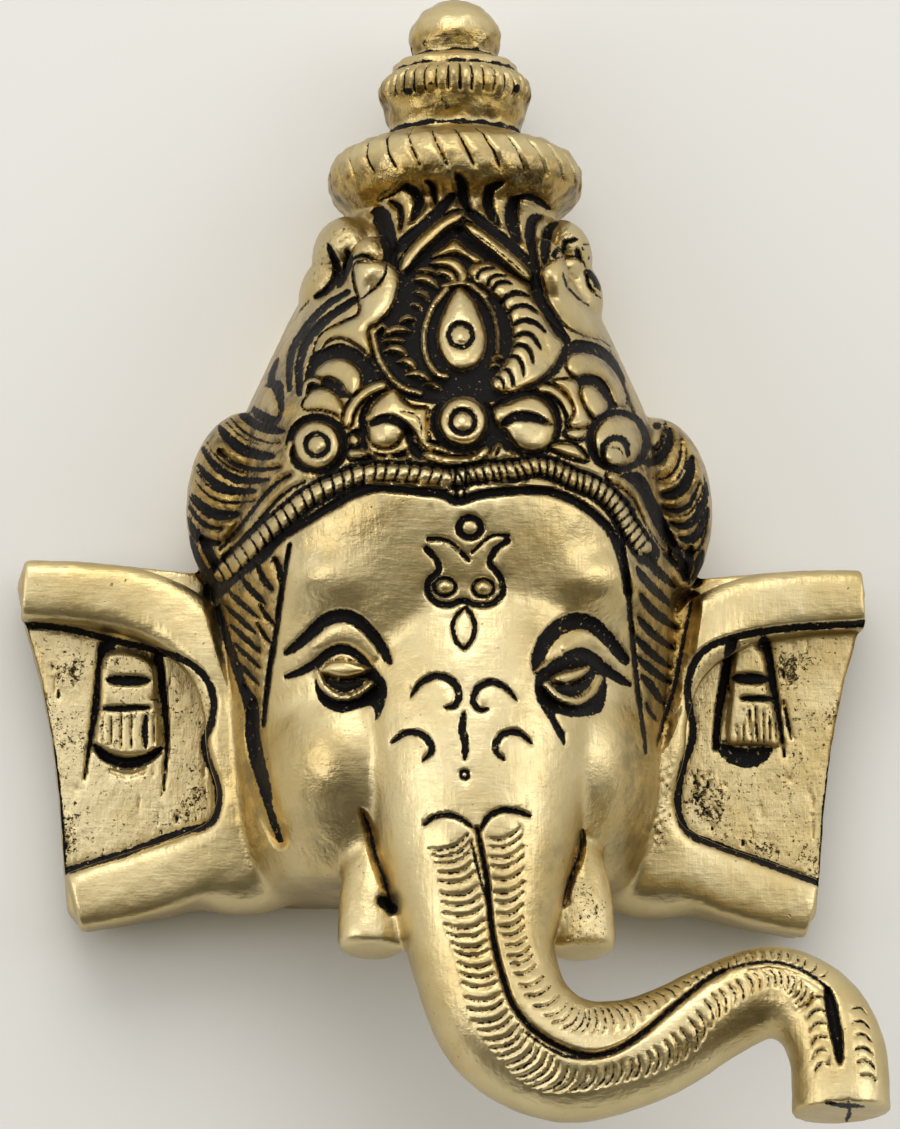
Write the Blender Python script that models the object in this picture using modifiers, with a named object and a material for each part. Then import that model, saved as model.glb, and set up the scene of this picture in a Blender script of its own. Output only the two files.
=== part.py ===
"""Ganesha wall mask: one hollow-backed brass casting, lying on its back rim.

The origin is on the back plane under the middle of the box. X runs across the face,
Y up towards the finial and Z out of the wall, towards the viewer.
"""
import math

import bmesh
import bpy
import numpy as np
from mathutils import Vector

# Sizes that can be set by themselves, in metres
MASK_HEIGHT = 0.1484      # trunk to finial tip
WALL = 0.0040             # thickness of the hollow shell
EAR_THICKNESS = 0.0052    # sheet of the ear inside its rolled frame
EAR_BACK = 0.0030         # back of the ears in front of the back plane

# The mask is drawn at this height, and its form and carving are shares of it
DRAWN_HEIGHT = 148.4
DRAWN_MIDDLE = 2.45
MM = MASK_HEIGHT / DRAWN_HEIGHT

# Fineness of the modelling, in drawn millimetres
VOXEL = 0.72 * MM
SOFTEN_ROUNDS = 3
FACE_ROUNDS = 24
FACE_TOP = 14.0
FACE_HALF_WIDTH = 22.0
FACE_FADE = 8.0
TRIANGLE_SHARE = 0.043
WELD_SHARE = 1 / 40          # points closer than this share of a voxel are one

# The carving is drawn as it is seen from this eye point, on planes of a named height
EYE = np.array([-69.8, -172.6, 982.4])
CROWN_PLANE = 20.0
TRUNK_PLANE = 45.0
EAR_PLANE = 8.0

BRASS = {"colour": (0.62, 0.45, 0.19), "roughness": 0.3, "metallic": 1.0}

# Head from the jaw to the crown's top: height, middle, half width and depth of each section
HEAD_SECTIONS = (
    (-40.6, 0.0, 21.0, 27.0), (-39.4, 0.0, 24.4, 31.0), (-34.0, 0.0, 27.0, 34.0), (-25.0, 0.0, 28.4, 35.6),
    (-15.0, 0.0, 29.2, 37.0), (-5.0, 0.0, 29.8, 40.4), (4.0, 0.0, 29.8, 42.6), (12.0, 0.0, 29.0, 42.4),
    (20.0, 0.2, 27.0, 40.0), (28.0, 0.3, 23.6, 36.0), (36.0, 0.4, 20.0, 31.6), (44.0, 0.8, 16.2, 27.0),
    (52.0, 1.1, 12.6, 23.4))
HEAD_SQUARENESS = 2.45
HEAD_SIDES = 48
HEAD_SKIRT = 4.0

# Trunk: where its middle line is seen on the trunk plane, its height and its radius
TRUNK_COURSE = (
    (0.8, -6.0, 20.0, 18.0), (1.0, -14.0, 22.6, 18.0), (1.2, -22.0, 26.2, 16.8), (1.4, -30.0, 29.8, 14.6),
    (1.6, -38.0, 32.6, 12.4), (1.8, -45.0, 34.6, 10.5), (2.2, -52.0, 36.0, 9.1), (5.4, -60.6, 37.4, 8.7),
    (12.2, -64.8, 38.0, 8.0), (19.2, -64.4, 37.6, 7.0), (25.0, -62.3, 37.4, 6.5), (31.0, -58.9, 37.8, 6.0),
    (37.4, -56.3, 39.0, 5.7), (42.9, -58.4, 41.0, 5.8), (45.9, -63.6, 42.6, 6.0), (46.4, -71.2, 43.6, 6.1))

# Turned finial: height and radius, about an axis that leans a little to the right
FINIAL_AXIS = (1.2, 12.2)
FINIAL_PROFILE = (
    (46.0, 11.0), (48.2, 13.8), (49.6, 15.6), (51.4, 16.4), (53.4, 16.4), (55.4, 15.4), (56.8, 12.8), (57.4, 10.0),
    (58.2, 8.6), (59.6, 8.4), (60.6, 9.0), (61.8, 9.1), (62.4, 9.3), (63.4, 9.9), (65.2, 9.9), (66.2, 8.8),
    (66.6, 8.1), (67.7, 8.1), (68.3, 6.8), (68.8, 5.3), (70.0, 5.7), (71.6, 6.1), (73.2, 5.6), (74.8, 4.3),
    (76.0, 2.6), (76.8, 0.0))
FINIAL_STEPS = 48
ROPE_RING = {"height": 52.8, "half": 4.0, "notches": 26, "depth": 0.9, "slant": 0.105}
NOTCHED_RING = {"height": 64.3, "half": 1.9, "notches": 26, "depth": 0.7, "slant": 0.0}

# Ears, drawn for the right side on the ear plane and mirrored
EAR_OUTLINE = (
    (20.0, 1.0), (33.0, 1.7), (40.0, 2.4), (47.0, 3.0), (53.8, 2.9), (54.6, 0.0), (53.6, -5.0), (51.6, -12.0),
    (50.0, -20.0), (49.0, -28.0), (48.4, -36.0), (47.8, -42.0), (45.6, -44.4), (36.0, -43.6), (27.0, -42.0),
    (20.0, -40.0))
EAR_FRAME = (    # x, y, z, half width, half height
    (54.0, -1.1, 8.6, 3.9, 3.2), (46.0, -1.6, 9.2, 4.1, 3.3), (39.0, -2.9, 10.0, 4.3, 3.4),
    (33.4, -5.8, 11.2, 4.3, 3.6), (29.3, -10.8, 12.2, 3.9, 3.6), (27.7, -17.0, 12.6, 3.3, 3.2),
    (27.4, -22.0, 12.6, 3.1, 3.2),
    (26.0, -28.0, 12.2, 3.1, 3.2), (27.6, -33.8, 11.4, 3.9, 3.4), (33.0, -37.2, 10.2, 4.4, 3.4),
    (39.4, -39.2, 9.4, 4.4, 3.3), (47.2, -41.2, 8.6, 3.8, 3.1))
STRAP_SQUARENESS = 3.2
STRAP_SIDES = 24

# Cheek, brow, wing and curled beast blended into the head: middle and radii, set on both sides
LUMPS = (
    ((13.6, -25.5, 12.0), (12.8, 16.0, 23.6)),
    ((13.0, -3.0, 18.0), (13.0, 9.0, 21.2)),
    ((26.2, 9.6, 10.5), (7.6, 12.4, 12.5)),
    ((13.8, 41.6, 15.5), (4.2, 5.0, 9.0)),
    ((16.0, 36.6, 13.0), (3.6, 5.0, 8.5)),
    ((10.8, 37.0, 24.6), (3.4, 5.4, 5.4)))
LUMP_SHIFT = 0.6
BALL_SEGMENTS = 32
BALL_RINGS = 16
TUSK_COURSE = ((11.4, -35.0, 27.0, 3.4), (12.8, -41.0, 29.0, 4.1), (13.3, -50.0, 31.0, 4.4))
TUSK_MIDDLE = 2.6

# Relief sizes, in drawn millimetres
GROUND = {"height": -1.3, "edge": 0.9, "moat": 0.5, "depth": 0.2}
PAD = {"height": 0.35, "edge": 0.9, "moat": 0.8, "depth": 1.4}
PANEL = {"height": -0.5, "edge": 1.5, "moat": 0.2, "depth": 0.8}
EYE_BALL = {"height": 0.5, "edge": 1.4, "moat": 0.3, "depth": 0.6}
CURL_HEIGHT = 1.0
JEWEL_HEIGHT = 0.7
ROSETTE = {"height": 0.7, "moat": 1.1, "ring": 0.5}
LEAF_CUTS = {"bow": 1 / 6, "left": 7, "right": 8, "left_reach": 2.8, "right_reach": 3.2}
STRANDS = {"count": 3, "shift": 1.6, "width": 1.1}
FAN_RIDGE = 1.3
GABLE_BAR = 1.9
COLLAR_BAR = 1.2

# Grooves: width and depth
HAIRLINE = (0.5, 0.6)
FINE = (0.9, 0.7)
PLAIN = (1.1, 1.0)
EDGE_LINE = (1.3, 1.1)
BROAD = (1.7, 0.9)
POCKET = (2.4, 1.2)
ROOT_GROOVE = (1.4, 1.6)

# What repeats along a line
WING = {"strands": 8, "spread": 1.6, "fall": 8.0, "shift": 4.0, "lean": 0.45, "sag": 0.6}
ROPE_BAND = {"width": 2.2, "height": 0.8, "pitch": 1.45}
HAIR = {"left": 7, "right": 9, "top": 0.5, "pitch": 2.1, "x": 24.6, "drift": 0.06, "reach": 1.6}
TASSEL = {"cuts": 5, "first": 37.6, "pitch": 1.4, "top": -16.4, "foot": -19.8}
TRUNK_CUTS = {"pitch": 2.4, "left": 5.6, "right": 4.6, "near": 0.9, "start": 0.4, "bow": 0.6, "rise": 1.8}

# How smooth the lines are
CURVE_STEPS = 5
OUTLINE_STEPS = 3
FINE_STEPS = 14
CIRCLE_STEPS = 24
ROD_RESOLUTION = 5
FACING_GAIN = 1.6        # the carving fades only where the surface turns well away
TAPER_FLOOR = 0.08       # a tapered groove keeps this share of its squared width at its ends
NOTCH_SHARPNESS = 4


def clear_scene():
    for item in list(bpy.data.objects):
        bpy.data.objects.remove(item)


def new_object(name, data, collection):
    item = bpy.data.objects.new(name, data)
    collection.objects.link(item)
    return item


def curve_through(points, steps=CURVE_STEPS, closed=False):
    """Points of a smooth curve through rows of numbers."""
    rows = np.array(points, float)
    if closed:
        rows = np.vstack([rows[-1], rows, rows[0], rows[1]])
    else:
        rows = np.vstack([2 * rows[0] - rows[1], rows, 2 * rows[-1] - rows[-2]])
    found = []
    for a, b, c, d in zip(rows, rows[1:], rows[2:], rows[3:]):
        for t in np.arange(steps) / steps:
            found.append(
                0.5 * (2 * b + (c - a) * t + (2 * a - 5 * b + 4 * c - d) * t ** 2 + (3 * b - a - 3 * c + d) * t ** 3))
    if not closed:
        found.append(rows[-2])
    return np.array(found)


def real_place(seen_x, seen_y, plane, height):
    """Where a point seen on a drawing plane lies at its true height."""
    seen = np.array([seen_x, seen_y, plane])
    share = (EYE[2] - height) / (EYE[2] - plane)
    return EYE + (seen - EYE) * share


def evaluated_mesh(item):
    """Mesh of an object as the viewport shows it, with its caps welded and in world places."""
    bpy.context.view_layer.update()
    mesh = bpy.data.meshes.new_from_object(item.evaluated_get(bpy.context.evaluated_depsgraph_get()))
    mesh.transform(item.matrix_world)
    shell = bmesh.new()
    shell.from_mesh(mesh)
    bmesh.ops.remove_doubles(shell, verts=shell.verts, dist=VOXEL * WELD_SHARE)
    shell.to_mesh(mesh)
    shell.free()
    return mesh


def solid_from(item):
    """Swap an object for a plain mesh object of its evaluated shape."""
    collection = item.users_collection[0]
    solid = new_object(item.name + ".solid", evaluated_mesh(item), collection)
    bpy.data.objects.remove(item)
    return solid


def head_loft(name, collection, inset, skirt):
    """Half-round sections standing on the back plane, drawn in by the inset."""
    shell = bmesh.new()
    rings = []
    low, high = HEAD_SECTIONS[0][0], HEAD_SECTIONS[-1][0]
    for drawn, middle, half, depth in curve_through(HEAD_SECTIONS, OUTLINE_STEPS):
        height = low + inset + (drawn - low) * (high - low - 2 * inset) / (high - low)
        ring = []
        for turn in np.linspace(0.0, math.pi, HEAD_SIDES + 1):
            across = math.copysign(abs(math.cos(turn)) ** (2 / HEAD_SQUARENESS), math.cos(turn))
            out = abs(math.sin(turn)) ** (2 / HEAD_SQUARENESS)
            ring.append((middle + (half - inset) * across, height, (depth - inset) * out))
        ring.append((middle - (half - inset), height, -skirt))
        ring.append((middle + (half - inset), height, -skirt))
        rings.append([shell.verts.new(Vector(place) * MM) for place in ring])
    count = len(rings[0])
    for lower, upper in zip(rings, rings[1:]):
        for k in range(count):
            after = (k + 1) % count
            shell.faces.new((lower[k], lower[after], upper[after], upper[k]))
    shell.faces.new(reversed(rings[0]))
    shell.faces.new(rings[-1])
    bmesh.ops.recalc_face_normals(shell, faces=shell.faces)
    mesh = bpy.data.meshes.new(name)
    shell.to_mesh(mesh)
    shell.free()
    return new_object(name, mesh, collection)


def rod(name, collection, course):
    """Round rod along x, y, z and radius rows."""
    curve = bpy.data.curves.new(name, "CURVE")
    curve.dimensions = "3D"
    curve.bevel_depth = MM
    curve.bevel_resolution = ROD_RESOLUTION
    curve.use_fill_caps = True
    rows = curve_through(course)
    spline = curve.splines.new("POLY")
    spline.points.add(len(rows) - 1)
    for point, (x, y, z, radius) in zip(spline.points, rows):
        point.co = (x * MM, y * MM, z * MM, 1.0)
        point.radius = radius
    return solid_from(new_object(name, curve, collection))


def strap(name, collection, course):
    """Flat bar with rounded edges along x, y, z, half width and half height rows."""
    shell = bmesh.new()
    rows = curve_through(course)
    runs = np.gradient(rows[:, :3], axis=0)
    rings = []
    for (x, y, z, half_width, half_height), run in zip(rows, runs):
        across = Vector((-run[1], run[0], 0.0)).normalized()
        ring = []
        for turn in np.linspace(0.0, 2 * math.pi, STRAP_SIDES, endpoint=False):
            side = math.copysign(abs(math.cos(turn)) ** (2 / STRAP_SQUARENESS), math.cos(turn))
            out = math.copysign(abs(math.sin(turn)) ** (2 / STRAP_SQUARENESS), math.sin(turn))
            place = Vector((x, y, z + half_height * out)) + across * half_width * side
            ring.append(shell.verts.new(place * MM))
        rings.append(ring)
    for lower, upper in zip(rings, rings[1:]):
        for k in range(STRAP_SIDES):
            after = (k + 1) % STRAP_SIDES
            shell.faces.new((lower[k], lower[after], upper[after], upper[k]))
    shell.faces.new(reversed(rings[0]))
    shell.faces.new(rings[-1])
    bmesh.ops.recalc_face_normals(shell, faces=shell.faces)
    mesh = bpy.data.meshes.new(name)
    shell.to_mesh(mesh)
    shell.free()
    return new_object(name, mesh, collection)


def ball(name, collection, middle, radii):
    shell = bmesh.new()
    bmesh.ops.create_uvsphere(shell, u_segments=BALL_SEGMENTS, v_segments=BALL_RINGS, radius=MM)
    mesh = bpy.data.meshes.new(name)
    shell.to_mesh(mesh)
    shell.free()
    item = new_object(name, mesh, collection)
    item.location = Vector(middle) * MM
    item.scale = radii
    return solid_from(item)


def finial(collection):
    """Turned rings and bulb: the profile goes round an axis along Y."""
    mesh = bpy.data.meshes.new("finial")
    rows = [(0.0, FINIAL_PROFILE[0][0], 0.0)] + [(radius, height, 0.0) for height, radius in FINIAL_PROFILE]
    places = [Vector(row) * MM for row in rows]
    mesh.from_pydata(places, [(k, k + 1) for k in range(len(places) - 1)], [])
    item = new_object("finial", mesh, collection)
    turning = item.modifiers.new("turning", "SCREW")
    turning.axis = "Y"
    turning.steps = turning.render_steps = FINIAL_STEPS
    turning.use_merge_vertices = True
    turning.merge_threshold = VOXEL * WELD_SHARE
    turning.use_normal_calculate = True
    item.location = Vector((FINIAL_AXIS[0], 0.0, FINIAL_AXIS[1])) * MM
    return solid_from(item)


def ear_sheet(name, collection, side):
    curve = bpy.data.curves.new(name, "CURVE")
    curve.dimensions = "2D"
    curve.fill_mode = "BOTH"
    curve.extrude = EAR_THICKNESS / 2
    spline = curve.splines.new("POLY")
    spline.points.add(len(EAR_OUTLINE) - 1)
    for point, (x, y) in zip(spline.points, EAR_OUTLINE):
        point.co = (side * x * MM, y * MM, 0.0, 1.0)
    spline.use_cyclic_u = True
    item = new_object(name, curve, collection)
    item.location.z = EAR_BACK + EAR_THICKNESS / 2
    return solid_from(item)


def mirrored(place, side):
    return (place[0] * side,) + tuple(place[1:])


def masses(collection):
    """Every lump that the casting is blended from."""
    lumps = [head_loft("head", collection, 0.0, HEAD_SKIRT), finial(collection)]
    course = []
    for seen_x, seen_y, height, radius in TRUNK_COURSE:
        x, y, z = real_place(seen_x, seen_y, TRUNK_PLANE, height)
        course.append((x, y, z, radius))
    lumps.append(rod("trunk", collection, course))
    for side in (-1, 1):
        lumps.append(ear_sheet("ear", collection, side))
        lumps.append(strap("ear_frame", collection, [mirrored(row, side) for row in EAR_FRAME]))
        tusk = [(TUSK_MIDDLE + side * x, y, z, radius) for x, y, z, radius in TUSK_COURSE]
        lumps.append(rod("tusk", collection, tusk))
        for (x, y, z), radii in LUMPS:
            lumps.append(ball("lump", collection, (LUMP_SHIFT + side * x, y, z), radii))
    return lumps


def blended(lumps, collection):
    """One closed skin over all the lumps, softened where they meet."""
    joined = bmesh.new()
    for lump in lumps:
        joined.from_mesh(lump.data)
        bpy.data.objects.remove(lump)
    mesh = bpy.data.meshes.new("blend")
    joined.to_mesh(mesh)
    joined.free()
    item = new_object("blend", mesh, collection)
    skin = item.modifiers.new("skin", "REMESH")
    skin.mode = "VOXEL"
    skin.voxel_size = VOXEL
    soften = item.modifiers.new("soften", "SMOOTH")
    soften.iterations = SOFTEN_ROUNDS
    mask = solid_from(item)
    face = mask.vertex_groups.new(name="face")
    for vertex in mask.data.vertices:
        x, y, _ = vertex.co / MM
        share = min((FACE_TOP - y) / FACE_FADE, (FACE_HALF_WIDTH + FACE_FADE - abs(x)) / FACE_FADE, 1.0)
        if share > 0.0:
            face.add([vertex.index], share, "REPLACE")
    flow = mask.modifiers.new("flow", "SMOOTH")
    flow.iterations = FACE_ROUNDS
    flow.vertex_group = face.name
    return solid_from(mask)


class Relief:
    """Height of the carving at every vertex, as it is seen from the eye point."""

    def __init__(self, mesh):
        count = len(mesh.vertices)
        places = np.empty(count * 3)
        mesh.vertices.foreach_get("co", places)
        normals = np.empty(count * 3)
        mesh.vertex_normals.foreach_get("vector", normals)
        self.mesh = mesh
        self.places = places.reshape(-1, 3) / MM
        self.sight = EYE - self.places
        self.sight /= np.linalg.norm(self.sight, axis=1)[:, None]
        self.facing = np.clip(FACING_GAIN * np.sum(self.sight * normals.reshape(-1, 3), axis=1), 0.0, 1.0)
        self.raised = np.zeros(count)
        self.use_plane(CROWN_PLANE)

    def use_plane(self, plane):
        """Draw what follows on this plane."""
        share = ((EYE[2] - plane) / (EYE[2] - self.places[:, 2]))[:, None]
        self.seen = (EYE + (self.places - EYE) * share)[:, :2]

    def near(self, points, reach):
        low, high = points.min(axis=0) - reach, points.max(axis=0) + reach
        inside = np.all((self.seen > low) & (self.seen < high), axis=1) & (self.facing > 0.0)
        return np.nonzero(inside)[0]

    def distance(self, chosen, points, closed):
        """Distance from each chosen vertex to the line, and where along it the nearest point is."""
        ends = np.roll(points, -1, axis=0) if closed else points[1:]
        starts = points if closed else points[:-1]
        best = np.full(len(chosen), np.inf)
        along = np.zeros(len(chosen))
        for k, (start, end) in enumerate(zip(starts, ends)):
            run = end - start
            rel = self.seen[chosen] - start
            share = np.clip(rel @ run / (run @ run), 0.0, 1.0)
            far = np.linalg.norm(rel - share[:, None] * run, axis=1)
            nearer = far < best
            best[nearer] = far[nearer]
            along[nearer] = (k + share[nearer]) / len(starts)
        return best, along

    def line(self, points, groove=PLAIN, taper=True):
        """Cut a groove along a smooth line, finer towards its ends where it tapers."""
        width, depth = groove
        route = curve_through(points)
        chosen = self.near(route, width)
        far, along = self.distance(chosen, route, False)
        half = width / 2
        if taper:
            half = half * np.sqrt(np.clip(4 * along * (1 - along), TAPER_FLOOR, 1.0))
        cut = depth * np.clip(1 - (far / half) ** 2, 0.0, 1.0)
        self.raised[chosen] -= cut

    def pad(self, outline, height=PAD["height"], edge=PAD["edge"], moat=PAD["moat"], depth=PAD["depth"], smooth=True):
        """Stamp a cushion with this outline and sink a moat round it."""
        route = curve_through(outline, OUTLINE_STEPS, True) if smooth else np.array(outline, float)
        chosen = self.near(route, moat)
        far, _ = self.distance(chosen, route, True)
        x, y = self.seen[chosen].T
        inside = np.zeros(len(chosen), bool)
        for (ax, ay), (bx, by) in zip(route, np.roll(route, -1, axis=0)):
            if ay != by:
                inside ^= ((ay > y) != (by > y)) & (x < (bx - ax) * (y - ay) / (by - ay) + ax)
        step = np.clip(far / edge, 0.0, 1.0)
        cushion = -depth / 2 + (height + depth / 2) * np.sqrt(1 - (1 - step) ** 2)
        ditch = np.clip(1 - far / moat, 0.0, 1.0) * -depth / 2
        old = self.raised[chosen]
        self.raised[chosen] = np.where(inside, cushion, np.where(far < moat, np.minimum(old, ditch), old))

    def apply(self):
        moved = self.places + self.sight * (self.raised * self.facing)[:, None]
        self.mesh.vertices.foreach_set("co", (moved * MM).ravel())
        self.mesh.update()


def round_outline(middle, radii):
    turns = np.linspace(0.0, 2 * math.pi, CIRCLE_STEPS, endpoint=False)
    return [(middle[0] + radii[0] * math.cos(t), middle[1] + radii[1] * math.sin(t)) for t in turns]


def ring_line(relief, middle, radii, groove=PLAIN):
    """Round groove."""
    ring = round_outline(middle, radii)
    relief.line(ring + ring[:1], groove, False)


def rosette(relief, middle, radius):
    """Disc with a ring groove round a boss."""
    relief.pad(round_outline(middle, (radius, radius)), ROSETTE["height"], moat=ROSETTE["moat"])
    ring_line(relief, middle, (radius * ROSETTE["ring"], radius * ROSETTE["ring"]))


def place_on(route, share):
    """Point at a share of a route, and the unit step along and across it."""
    k = int(share * (len(route) - 2))
    run = route[k + 1] - route[k]
    run = run / np.linalg.norm(run)
    return route[k], run, np.array([-run[1], run[0]])


def shares_along(route, pitch):
    """Evenly spaced places on a route, as shares of its points."""
    steps = np.concatenate([[0.0], np.cumsum(np.linalg.norm(np.diff(route, axis=0), axis=1))])
    return np.searchsorted(steps, np.arange(pitch, steps[-1], pitch)) / len(route)


def crescents(relief, spine, count, reach):
    """Row of short cuts across a curved leaf."""
    route = curve_through(spine, FINE_STEPS)
    for share in (np.arange(count) + 0.5) / count:
        middle, run, across = place_on(route, share)
        ends = middle - across * reach / 2, middle + across * reach / 2
        relief.line([ends[0], middle - run * reach * LEAF_CUTS["bow"], ends[1]], FINE)


def bar(relief, points, width, height=PAD["height"]):
    """Rounded bar of even width along a smooth line."""
    route = curve_through(points, OUTLINE_STEPS)
    runs = np.gradient(route, axis=0)
    runs /= np.linalg.norm(runs, axis=1)[:, None]
    across = np.stack([-runs[:, 1], runs[:, 0]], axis=1) * width / 2
    relief.pad(np.vstack([route + across, (route - across)[::-1]]), height, width / 2, smooth=False)


def carve_crown(relief):
    relief.use_plane(CROWN_PLANE)
    outline = [(-10.0, 46.5), (1.2, 50.5), (13.5, 46.0), (18.0, 33.0), (24.5, 24.0), (26.0, 15.0), (22.0, 13.0),
               (12.0, 14.2), (1.0, 13.8), (-12.0, 13.6), (-21.5, 11.0), (-24.5, 20.0), (-19.0, 32.0)]
    relief.pad(outline, *GROUND.values())
    # Fan of ridges under the rope ring
    for tip, root in (((-8.6, 47.2), (-6.9, 40.8)), ((-5.6, 48.2), (-5.6, 44.2)), ((-2.8, 49.6), (-3.2, 46.6)),
                      ((0.4, 50.6), (0.8, 47.4)), ((3.8, 50.2), (4.0, 46.6)), ((7.0, 48.6), (7.2, 44.4)),
                      ((9.6, 47.4), (9.6, 41.8)), ((12.2, 45.8), (11.6, 40.4))):
        bar(relief, [tip, root], FAN_RIDGE)
    # Gable over the jewel
    bar(relief, [(-6.4, 38.6), (-3.0, 43.2), (1.4, 46.6)], GABLE_BAR)
    bar(relief, [(1.8, 45.2), (6.0, 41.6), (10.4, 38.2)], GABLE_BAR)
    # Curled beasts at the crown's sides
    relief.pad([(-7.0, 39.2), (-9.0, 40.4), (-12.2, 39.8), (-11.4, 35.4), (-13.4, 32.4), (-17.2, 28.2),
                (-14.6, 30.0), (-10.2, 28.0), (-10.6, 31.6), (-7.8, 34.0)], CURL_HEIGHT)
    relief.pad([(12.0, 40.4), (15.2, 41.2), (17.6, 38.8), (18.0, 34.8), (22.6, 29.4), (24.4, 24.6),
                (21.4, 28.4), (15.4, 31.8), (12.6, 35.6)], CURL_HEIGHT)
    relief.line([(-8.3, 39.8), (-9.2, 37.2), (-11.2, 35.4)])
    relief.line([(14.7, 39.2), (15.6, 36.6), (17.9, 34.9)])
    relief.line([(-14.6, 41.4), (-14.0, 38.6), (-16.6, 35.6)])
    relief.line([(-12.9, 41.4), (-12.3, 38.6), (-13.2, 35.6)])
    # Strands that run down from the left beast
    for k in range(STRANDS["count"]):
        shift = k * STRANDS["shift"]
        strand = [(-15.6, 35.2), (-18.8, 31.6), (-21.0, 28.0), (-20.8, 23.6)]
        bar(relief, [(x + shift, y) for x, y in strand], STRANDS["width"])
    # Banded leaves round the jewel
    relief.pad([(2.8, 39.2), (6.4, 39.4), (10.4, 36.2), (12.6, 32.2), (14.2, 29.6), (12.2, 25.6), (8.0, 23.6),
                (5.6, 24.8), (7.6, 28.0), (8.0, 32.0), (5.4, 36.2)])
    relief.pad([(-0.8, 40.2), (-4.6, 38.8), (-7.6, 33.6), (-9.2, 30.4), (-8.4, 26.6), (-5.6, 23.8), (-2.0, 24.2),
                (-4.2, 27.4), (-5.2, 32.4), (-3.4, 36.2)])
    crescents(relief, [(4.2, 38.6), (8.4, 35.4), (10.2, 31.0), (9.2, 27.4), (6.8, 25.2)], LEAF_CUTS["right"],
              LEAF_CUTS["right_reach"])
    crescents(relief, [(-2.6, 38.4), (-5.8, 34.0), (-7.0, 29.6), (-5.2, 26.0), (-2.8, 24.8)], LEAF_CUTS["left"],
              LEAF_CUTS["left_reach"])
    # Drop jewel
    relief.pad([(1.2, 37.0), (3.6, 34.4), (4.6, 30.4), (3.4, 27.2), (1.4, 26.2), (-0.6, 27.4), (-1.5, 30.4),
                (-0.8, 34.2)], JEWEL_HEIGHT)
    ring_line(relief, (1.4, 30.8), (1.5, 1.5))
    # Scroll lobes
    for outline in (((-17.6, 25.6), (-15.2, 27.3), (-12.4, 26.8), (-11.1, 24.6), (-12.0, 22.6), (-14.2, 24.6)),
                    ((-18.2, 22.6), (-15.6, 23.4), (-13.8, 20.8), (-16.4, 21.4)),
                    ((-8.0, 23.4), (-10.2, 20.4), (-10.0, 17.2), (-7.8, 16.2), (-6.2, 18.0), (-3.0, 16.8),
                     (-2.8, 20.0), (-5.4, 21.4)),
                    ((5.6, 20.4), (8.0, 22.2), (11.0, 22.8), (13.2, 20.4), (12.8, 16.8), (9.8, 16.0), (7.2, 18.4)),
                    ((13.2, 25.2), (16.2, 23.4), (17.8, 20.2), (15.6, 19.2), (14.2, 22.2)),
                    ((17.2, 23.6), (19.0, 23.2), (19.8, 21.8), (18.4, 20.4)),
                    ((15.8, 28.4), (19.4, 27.6), (22.2, 23.6), (20.6, 24.2), (17.4, 26.2))):
        relief.pad(outline)
    relief.line([(-9.8, 19.3), (-7.4, 19.8), (-5.2, 18.4), (-5.2, 16.8)], EDGE_LINE)
    relief.line([(6.6, 19.2), (9.6, 20.4), (12.8, 19.4)], BROAD)
    for middle, radius in (((1.7, 19.6), 3.1), ((-16.9, 16.4), 3.0), ((21.4, 17.2), 3.1)):
        rosette(relief, middle, radius)
    bar(relief, [(-2.8, 15.4), (1.4, 14.2), (4.4, 15.6)], COLLAR_BAR)


def carve_wings(relief):
    """Strands that fan out from the rosettes to the wings' edges."""
    relief.use_plane(CROWN_PLANE)
    for side, root, low, high in ((-1, (-21.4, 15.0), (-32.6, 3.6), (-25.6, 21.6)),
                                  (1, (24.6, 12.6), (32.0, 4.0), (28.4, 18.4))):
        for share in np.linspace(0.0, 1.0, WING["strands"]):
            tip_x = low[0] + (high[0] - low[0]) * share ** WING["spread"]
            tip_y = low[1] + (high[1] - low[1]) * share
            start = (root[0] + side * (1 - share) * WING["shift"], root[1] - (1 - share) * WING["fall"])
            bend_x = root[0] * WING["lean"] + tip_x * (1 - WING["lean"])
            relief.line([start, (bend_x, min(start[1], tip_y) - WING["sag"]), (tip_x, tip_y)], FINE)


def carve_rope(relief):
    """Beaded band over the forehead and the line beneath it."""
    relief.use_plane(CROWN_PLANE)
    course = [(-29.4, -1.0), (-23.6, 4.8), (-18.4, 9.2), (-13.4, 11.9), (-8.0, 13.0), (0.6, 12.4), (6.0, 13.2),
              (11.0, 13.6), (17.4, 11.6), (22.2, 7.4), (25.2, 3.2), (28.6, -1.6)]
    bar(relief, course, ROPE_BAND["width"], ROPE_BAND["height"])
    route = curve_through(course, FINE_STEPS)
    for share in shares_along(route, ROPE_BAND["pitch"]):
        middle, _, across = place_on(route, share)
        reach = across * ROPE_BAND["width"] / 2
        relief.line([middle - reach, middle + reach], HAIRLINE, False)
    relief.line([(-23.6, 1.4), (-20.0, 4.8), (-15.0, 8.4), (-9.0, 10.8), (0.8, 9.8), (8.0, 10.7), (14.0, 10.2),
                 (18.6, 7.5), (21.4, 4.0), (22.4, -2.0)], EDGE_LINE, False)


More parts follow.
